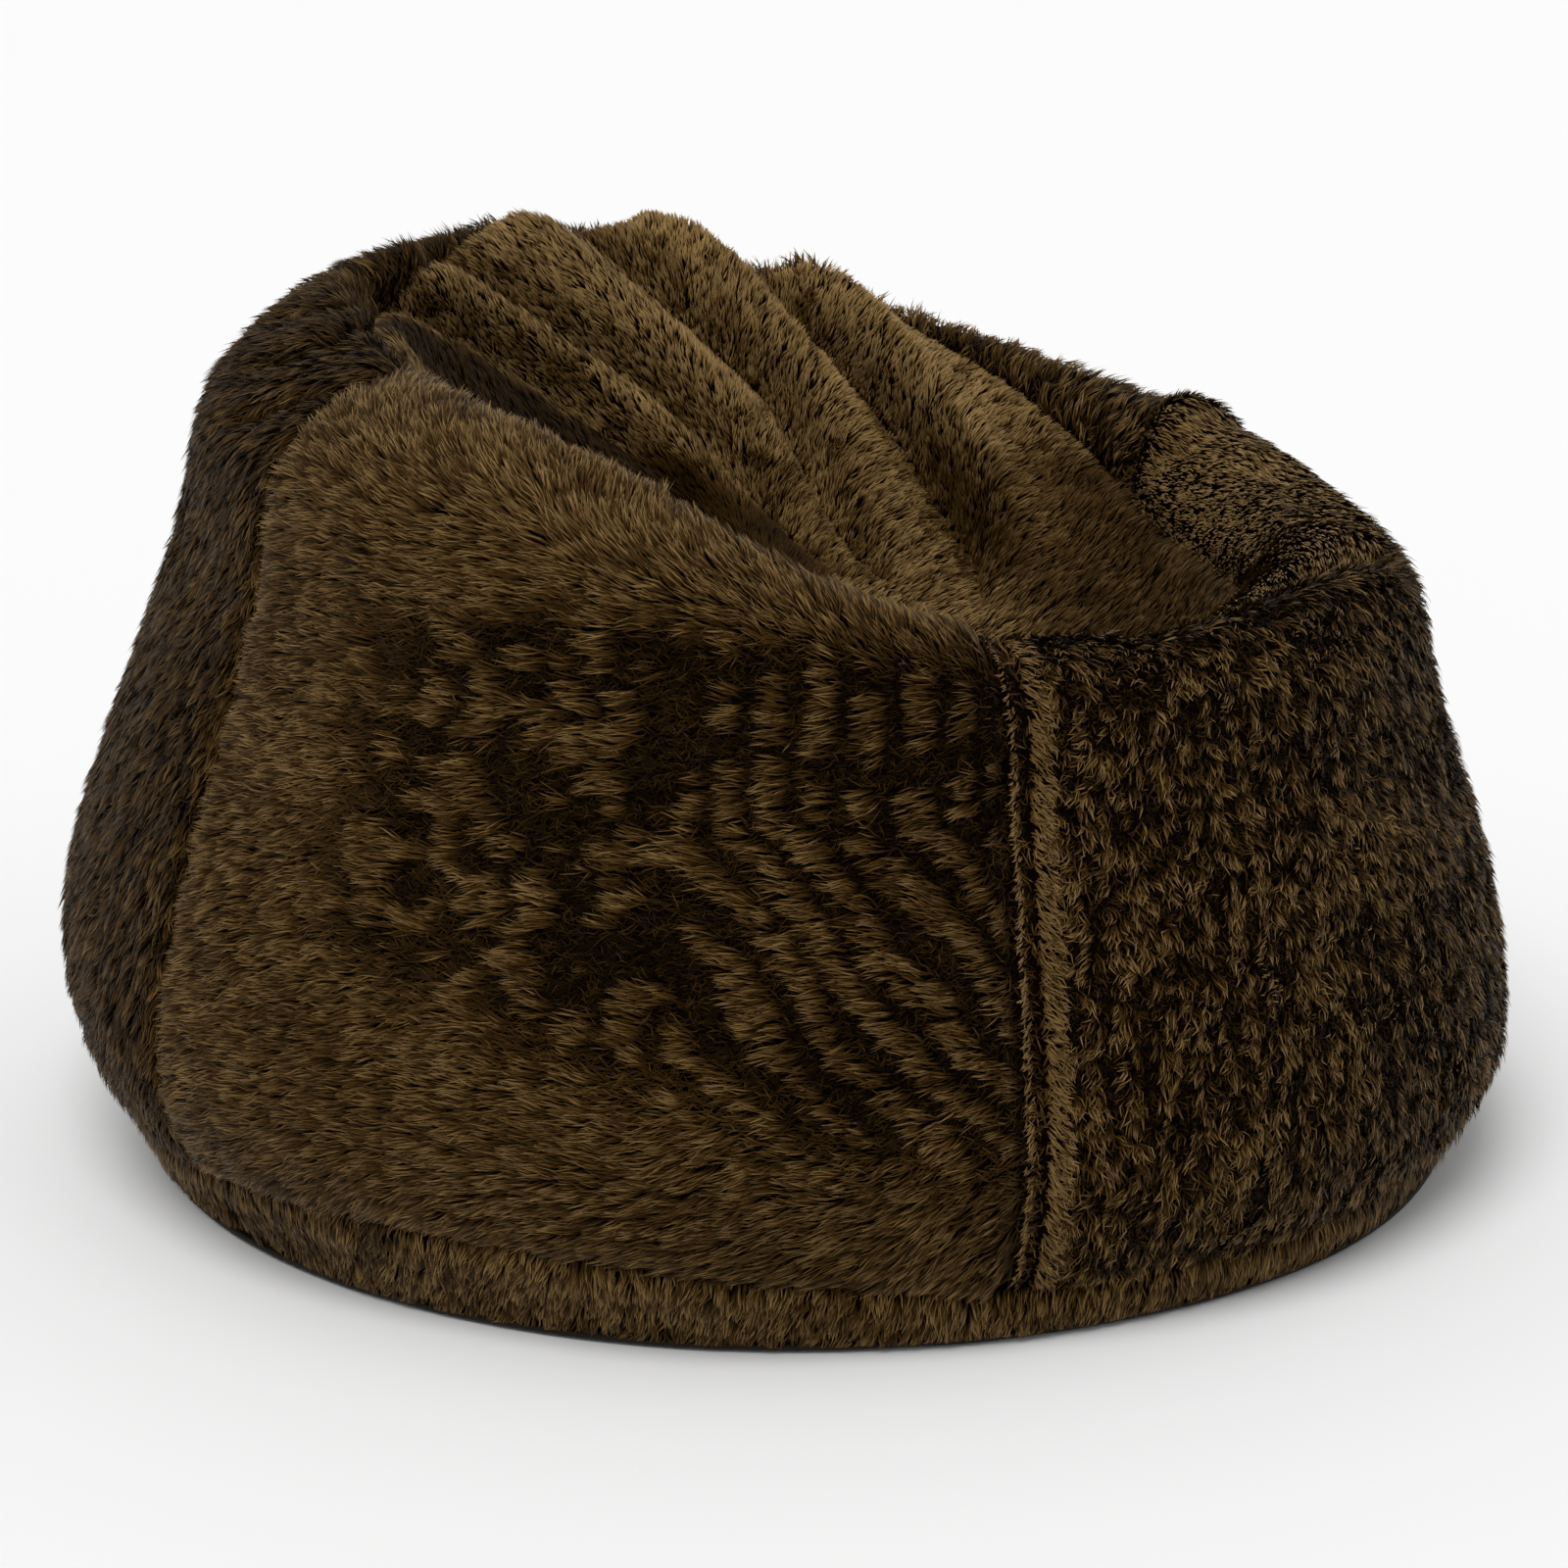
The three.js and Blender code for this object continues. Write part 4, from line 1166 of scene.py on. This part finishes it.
BASE_INSET = 0.0045
BASE_WALL = 0.0012
SLOT_HALF = 0.007  # half the width of the gap over a zip
BUTT_HALF = 0.0002  # half the gap where the two halves meet beyond the zip
ZIP_LINE, ZIP_SLOT_END = 0.0, 0.261
LINER_ZIP_LINE, LINER_SLOT_END = 0.060, 0.206
LINER_INSET = 0.011
# The base's turned-up edge: each step outwards and its height.
BOUND_EDGE = ((0.0020, 0.0008), (0.0032, 0.0025), (0.0030, 0.0040), (0.0012, 0.0050))
HEM_INSET = 0.016


def foot_outline(turn, inset):
    """The foot's outline moved in by inset, at each turn."""
    radius = around(RINGS["foot_radius"], turn) - inset
    return np.stack([radius * np.sin(turn), -radius * np.cos(turn)], -1)


def base_grid(front, inset, zip_line, slot_end, rows=24, columns=170):
    """Half of the foot's outline filled in as a grid: columns run from the zip's line to the outline, and
    their inner ends follow a sine, so that they spread as the outline does, and stand back from the zip
    along its slot."""
    fine = np.radians(np.linspace(0, 360, 3601))
    outline = foot_outline(fine, inset)
    ahead = (outline[:, 1] < zip_line) if front else (outline[:, 1] > zip_line)
    middle = 0 if front else np.pi
    offset = np.angle(np.exp(1j * (fine - middle)))[ahead]
    share = np.linspace(-1, 1, columns + 1)
    low, high = offset.min(), offset.max()
    turn = middle + np.where(share < 0, -low * share, high * share)
    outer = foot_outline(turn, inset)
    ends = outer[[0, -1], 0]
    inner_x = np.where(share < 0, -ends[0], ends[1]) * np.sin(share * np.pi / 2)
    if not front:
        inner_x = np.where(share < 0, ends[0], -ends[1]) * -np.sin(share * np.pi / 2)
    back = np.where(np.abs(inner_x) < slot_end, SLOT_HALF, BUTT_HALF)
    back = np.minimum(back, np.abs(outer[:, 1] - zip_line))
    inner = np.stack([inner_x, zip_line + (-back if front else back)], -1)
    across = np.linspace(0, 1, rows + 1)[:, None, None]
    return inner + (outer - inner) * across


def strip_object(name, x_range, y_range, height, ripple, step=0.003):
    """A flat strip of cloth at a height above the floor, with crosswise ripples of that height."""
    columns = int((x_range[1] - x_range[0]) / step)
    x = np.linspace(*x_range, columns + 1)
    y = np.linspace(*y_range, 7)[:, None]
    x, y = np.broadcast_arrays(x, y)
    place = np.stack([x, y, 0 * x], -1)
    points = place + np.array([0, 0, 1]) * (height + ripple * cloud(place, 0.025, 51))[..., None]
    return grid_object(name, points)


def helix_object(name, centre_line, x_range, radii, pitch, thread, inward):
    """A zip's coil: a round thread carried along a helix that is squashed to radii in y and z, with the
    turns leaning towards inward, which is 1 or -1 in y."""
    turns = int((x_range[1] - x_range[0]) / pitch)
    angle = np.linspace(0, 2 * np.pi * turns, turns * 8 + 1)
    x = np.linspace(*x_range, len(angle)) + pitch * 0.2 * np.sin(angle)
    y = centre_line[0] + inward * radii[0] * np.cos(angle)
    z = centre_line[1] + radii[1] * np.sin(angle)
    middle = np.stack([x, y, z], -1)
    forward = unit(np.gradient(middle, axis=0))
    side = unit(np.cross(forward, (1.0, 0, 0)))
    other = np.cross(forward, side)
    ring = np.linspace(0, 2 * np.pi, 4, endpoint=False)
    points = middle[:, None] + thread * (
        side[:, None] * np.cos(ring)[:, None] + other[:, None] * np.sin(ring)[:, None]
    )
    quads = grid_faces(len(angle), 4, True)[:, ::-1]
    ends = np.array([[0, 1, 2, 3], np.arange(4)[::-1] + (len(angle) - 1) * 4])
    quads = np.concatenate([quads, ends])
    return mesh_object(name, points.reshape(-1, 3), quads.ravel(), np.full(len(quads), 4))


def stitch_object(name, line, spacing, length, radius):
    """A row of stitches along a line. Each is a short thread, thickest in the middle, that dips at both
    ends."""
    along = np.concatenate([[0], np.cumsum(np.linalg.norm(np.diff(line, axis=0), axis=1))])
    count = int(along[-1] / spacing)
    share = np.linspace(-0.5, 0.5, 5)
    places = (np.arange(count)[:, None] + 0.5) * spacing + share * length
    middle = np.stack([np.interp(places, along, line[:, k]) for k in range(3)], -1)
    forward = unit(middle[:, -1:] - middle[:, :1])
    side = unit(np.cross(forward, np.array([0, 0, 1.0]) + 0.001))
    up = np.cross(side, forward)
    ring = np.linspace(0, 2 * np.pi, 5, endpoint=False)
    thick = radius * np.sqrt(np.maximum(1 - (2 * share) ** 2 * 0.85, 0))
    middle = middle - up * (radius * (2 * share[:, None]) ** 2)
    circle = side[:, :, None] * np.cos(ring)[:, None] + up[:, :, None] * np.sin(ring)[:, None]
    points = middle[:, :, None] + circle * thick[:, None, None]
    quads = grid_faces(5, 5, True)
    ends = np.array([np.arange(5)[::-1], np.arange(5) + 20])
    pattern = np.concatenate([quads.ravel(), ends.ravel()])
    corners = (np.arange(count)[:, None] * 25 + pattern).ravel()
    sizes = np.tile(np.concatenate([np.full(len(quads), 4), [5, 5]]), count)
    return mesh_object(name, points.reshape(-1, 3), corners, sizes)


FILLING_DEPTH = 0.045
FILLING_FOOT = 0.2
FILLING_FLOOR = 0.018
FILLING_FOLDS = 0.3  # how much of the cover's folds the beads follow
LINER_DEPTH = 0.020
LINER_STEP = 0.010
LINER_FLOOR = 0.0125
LINER_CLEARANCE = 0.0013  # between the walls' foot and the floor cloth


class BEANBAG_OT_filling(bpy.types.Operator):
    """Makes the filling of beads inside the liner"""

    bl_idname = "beanbag.filling"
    bl_label = "Filling"

    def execute(self, context):
        turn = np.linspace(0, 2 * np.pi, 160, endpoint=False)
        climb = FILLING_FOOT + (POLE_CLIMB - FILLING_FOOT) * np.linspace(0, 1, 80)[:-1, None] + 0 * turn
        turn = np.broadcast_to(turn, climb.shape)
        points = cloth_points(turn, climb, FILLING_DEPTH, FILLING_FOLDS)
        points[..., 2] = np.maximum(points[..., 2], FILLING_FLOOR)
        foot = [points[0] * (share, share, 1) for share in (0.02, 0.35, 0.7)]
        points = np.concatenate([np.stack(foot), points])
        filling = grid_object("bead_filling", points, True, np.array(SEAT_BOTTOM) - (0, 0, FILLING_DEPTH))
        finish_piece(filling, bead_material("Foam beads"), "beads", replaced=["bead_fill"])
        return {"FINISHED"}


class BEANBAG_OT_liner(bpy.types.Operator):
    """Makes the inner bag that holds the beads: two side panels, a seat panel and a base in two halves"""

    bl_idname = "beanbag.liner"
    bl_label = "Liner"

    def execute(self, context):
        cloth = matted_material("Liner cloth", (0.50, 0.49, 0.46), (0.68, 0.67, 0.64), 900, 0.0004)
        for name, (start, end) in HALVES.items():
            edges = level(LINER_FOOT), level(LINER_EDGE)
            turn, climb = side_grid(start, end, *edges, SIDE_LENGTH, LINER_STEP)
            points = cloth_points(turn, climb, LINER_DEPTH)
            points[..., 2] = np.maximum(points[..., 2], LINER_FLOOR + LINER_CLEARANCE)
            wall = give_thickness(grid_object(f"liner_wall_{name}", points), LINER_WALL)
            finish_piece(wall, cloth, "liner_cloth", replaced=[f"liner_{name}"])
        turn = np.broadcast_to(np.linspace(0, 2 * np.pi, 130, endpoint=False), (28, 130))
        start = LINER_EDGE + 0.02
        climb = start + (POLE_CLIMB - start) * np.linspace(0, 1, 29)[:-1, None] + 0 * turn
        points = cloth_points(turn, climb, LINER_DEPTH)
        pole = np.array(SEAT_BOTTOM) - (0, 0, LINER_DEPTH)
        seat = give_thickness(grid_object("liner_seat_cloth", points, True, pole), LINER_WALL)
        finish_piece(seat, cloth, "liner_cloth", replaced=["liner_seat"])
        for name, front in (("front", True), ("rear", False)):
            flat = base_grid(front, LINER_INSET, LINER_ZIP_LINE, LINER_SLOT_END)
            points = np.concatenate([flat, np.full((*flat.shape[:2], 1), LINER_FLOOR)], -1)
            base = give_thickness(grid_object(f"liner_floor_{name}", points), LINER_WALL)
            finish_piece(base, cloth, "liner_cloth", replaced=[f"liner_base_{name}"])
        return {"FINISHED"}


GUARD_HALF = (0.275, 0.028)
GUARD_HEIGHT = 0.0088
LABEL_SPANS = ((0.190, 0.230), (0.024, 0.074))
LABEL_HEIGHT = 0.0048


class BEANBAG_OT_base(bpy.types.Operator):
    """Makes the woven base in two halves with its bound edge, the guard over its zip, and the label"""

    bl_idname = "beanbag.base"
    bl_label = "Base"

    def execute(self, context):
        woven = woven_material("Woven base", (0.004, 0.002, 0.001), (0.022, 0.012, 0.006), 900, 0.6)
        thread = woven_material("Sewing thread", (0.010, 0.006, 0.003), (0.030, 0.018, 0.009), 3000)
        for name, front in (("front", True), ("rear", False)):
            flat = base_grid(front, BASE_INSET, ZIP_LINE, ZIP_SLOT_END)
            puckers = 0.0006 + 0.0004 * (1 + cloud(np.concatenate([flat, 0 * flat[..., :1]], -1), 0.04, 61))
            points = np.concatenate([flat, puckers[..., None]], -1)
            edge = points[-1]
            outward = unit(edge * (1, 1, 0))
            turned = [edge + outward * out + (0, 0, rise) for out, rise in BOUND_EDGE]
            points = np.concatenate([points, np.stack(turned)])
            panel = grid_object(f"base_cloth_{name}", points)
            give_thickness(panel, BASE_WALL)
            finish_piece(panel, woven, "woven_base", replaced=[f"base_panel_{name}"])
            row = foot_outline(np.radians(np.linspace(-88, 88, 400) + (0 if front else 180)), HEM_INSET)
            row = np.concatenate([row, np.full((len(row), 1), 0.0004)], -1)
            hem = stitch_object(f"base_hem_stitches_{name}", row, 0.0045, 0.0036, 0.0005)
            finish_piece(hem, thread, "woven_base")
        half_length, half_width = GUARD_HALF
        spans = (-half_length, half_length), (-half_width, half_width)
        guard = strip_object("zip_guard_cloth", *spans, GUARD_HEIGHT, 0.0006)
        give_thickness(guard, 0.0008)
        finish_piece(guard, woven, "woven_base", replaced=["zip_guard"])
        cloth = woven_material("Label cloth", (0.45, 0.44, 0.42), (0.72, 0.71, 0.68), 1600)
        label = strip_object("care_label_cloth", *LABEL_SPANS, LABEL_HEIGHT, 0.0001, 0.002)
        give_thickness(label, 0.0003)
        finish_piece(label, cloth, "label_cloth", replaced=["care_label"])
        return {"FINISHED"}


# Each zip: its names' prefix, slot, place across the base, half its length, height of its top, and two
# colours.
ZIPS = (
    ("", "zip_nylon", ZIP_LINE, 0.255, 0.004, (0.004, 0.003, 0.002), (0.016, 0.011, 0.008)),
    ("liner_", "liner_zip_nylon", LINER_ZIP_LINE, 0.200, 0.013, (0.30, 0.29, 0.27), (0.55, 0.54, 0.51)),
)
TAPE_INNER, TAPE_OUTER = 0.002, 0.020  # a tape's edges, measured from its zip's line
TAPE_END = 0.012  # how far a tape runs past its coil
TAPE_SEAM = 0.014


class BEANBAG_OT_zips(bpy.types.Operator):
    """Makes both zips' woven tapes with their stitches and coils, and gives the sliders and stops their
    metal
    """

    bl_idname = "beanbag.zips"
    bl_label = "Zips"

    def execute(self, context):
        metal = metal_material("Zip metal")
        for prefix, slot, line, half, top, dark, light in ZIPS:
            tape_cloth = woven_material(f"{prefix}Zip tape", dark, light, 1400)
            coil_nylon = woven_material(f"{prefix}Zip coil", dark, light, 3000, 0.35)
            for side, name in ((-1, "front"), (1, "rear")):
                span = sorted((line + side * TAPE_INNER, line + side * TAPE_OUTER))
                length = (-half - TAPE_END, half + TAPE_END)
                tape = strip_object(f"{prefix}zip_tape_{name}_cloth", length, span, top + 0.0011, 0.0001)
                give_thickness(tape, 0.0006)
                finish_piece(tape, tape_cloth, slot, replaced=[f"{prefix}zip_tape_{name}"])
                x = np.linspace(-half - 0.01, half + 0.01, 200)
                row = np.stack([x, 0 * x + line + side * TAPE_SEAM, 0 * x + top + 0.0014], -1)
                seam = stitch_object(f"{prefix}zip_tape_{name}_stitches", row, 0.0035, 0.0028, 0.0003)
                finish_piece(seam, tape_cloth, slot)
                coil = helix_object(
                    f"{prefix}zip_coil_{name}_turns",
                    centre_line=(line + side * 0.00175, top - 0.00075),
                    x_range=(-half, half),
                    radii=(0.0008, 0.0006),
                    pitch=0.0016,
                    thread=0.00024,
                    inward=-side,
                )
                finish_piece(coil, coil_nylon, slot, replaced=[f"{prefix}zip_coil_{name}"])
            for name in ("zip_slider", "zip_stop_left", "zip_stop_right"):
                for held in bpy.data.objects[prefix + name].material_slots:
                    held.material = metal
        return {"FINISHED"}


class BEANBAG_PT_panel(bpy.types.Panel):
    """Lists the settings and the operators that build the chair"""

    bl_label = "Bean Bag"
    bl_idname = "BEANBAG_PT_panel"
    bl_space_type = "VIEW_3D"
    bl_region_type = "UI"
    bl_category = "Bean Bag"

    def draw(self, context):
        for group in (context.scene.bean_bag_stage, context.scene.bean_bag):
            for name in group.__annotations__:
                self.layout.prop(group, name)
        for operator in OPERATORS:
            self.layout.operator(operator.bl_idname)


OPERATORS = (
    BEANBAG_OT_stage,
    BEANBAG_OT_filling,
    BEANBAG_OT_liner,
    BEANBAG_OT_cover,
    BEANBAG_OT_band,
    BEANBAG_OT_base,
    BEANBAG_OT_zips,
)
CLASSES = (BagSettings, StageSettings, *OPERATORS, BEANBAG_PT_panel)


def register():
    """Adds the classes and settings to Blender."""
    for item in CLASSES:
        bpy.utils.register_class(item)
    bpy.types.Scene.bean_bag = PointerProperty(type=BagSettings)
    bpy.types.Scene.bean_bag_stage = PointerProperty(type=StageSettings)


def unregister():
    """Takes them out again."""
    del bpy.types.Scene.bean_bag_stage
    del bpy.types.Scene.bean_bag
    for item in reversed(CLASSES):
        bpy.utils.unregister_class(item)


def main():
    """Builds the chair."""
    register()
    for item in list(bpy.data.objects):  # what a new Blender file holds
        if item.type in {"CAMERA", "LIGHT"} or item.name == "Cube":
            bpy.data.objects.remove(item)
    for operator in OPERATORS:
        group, name = operator.bl_idname.split(".")
        getattr(getattr(bpy.ops, group), name)()


if __name__ == "__main__":
    main()
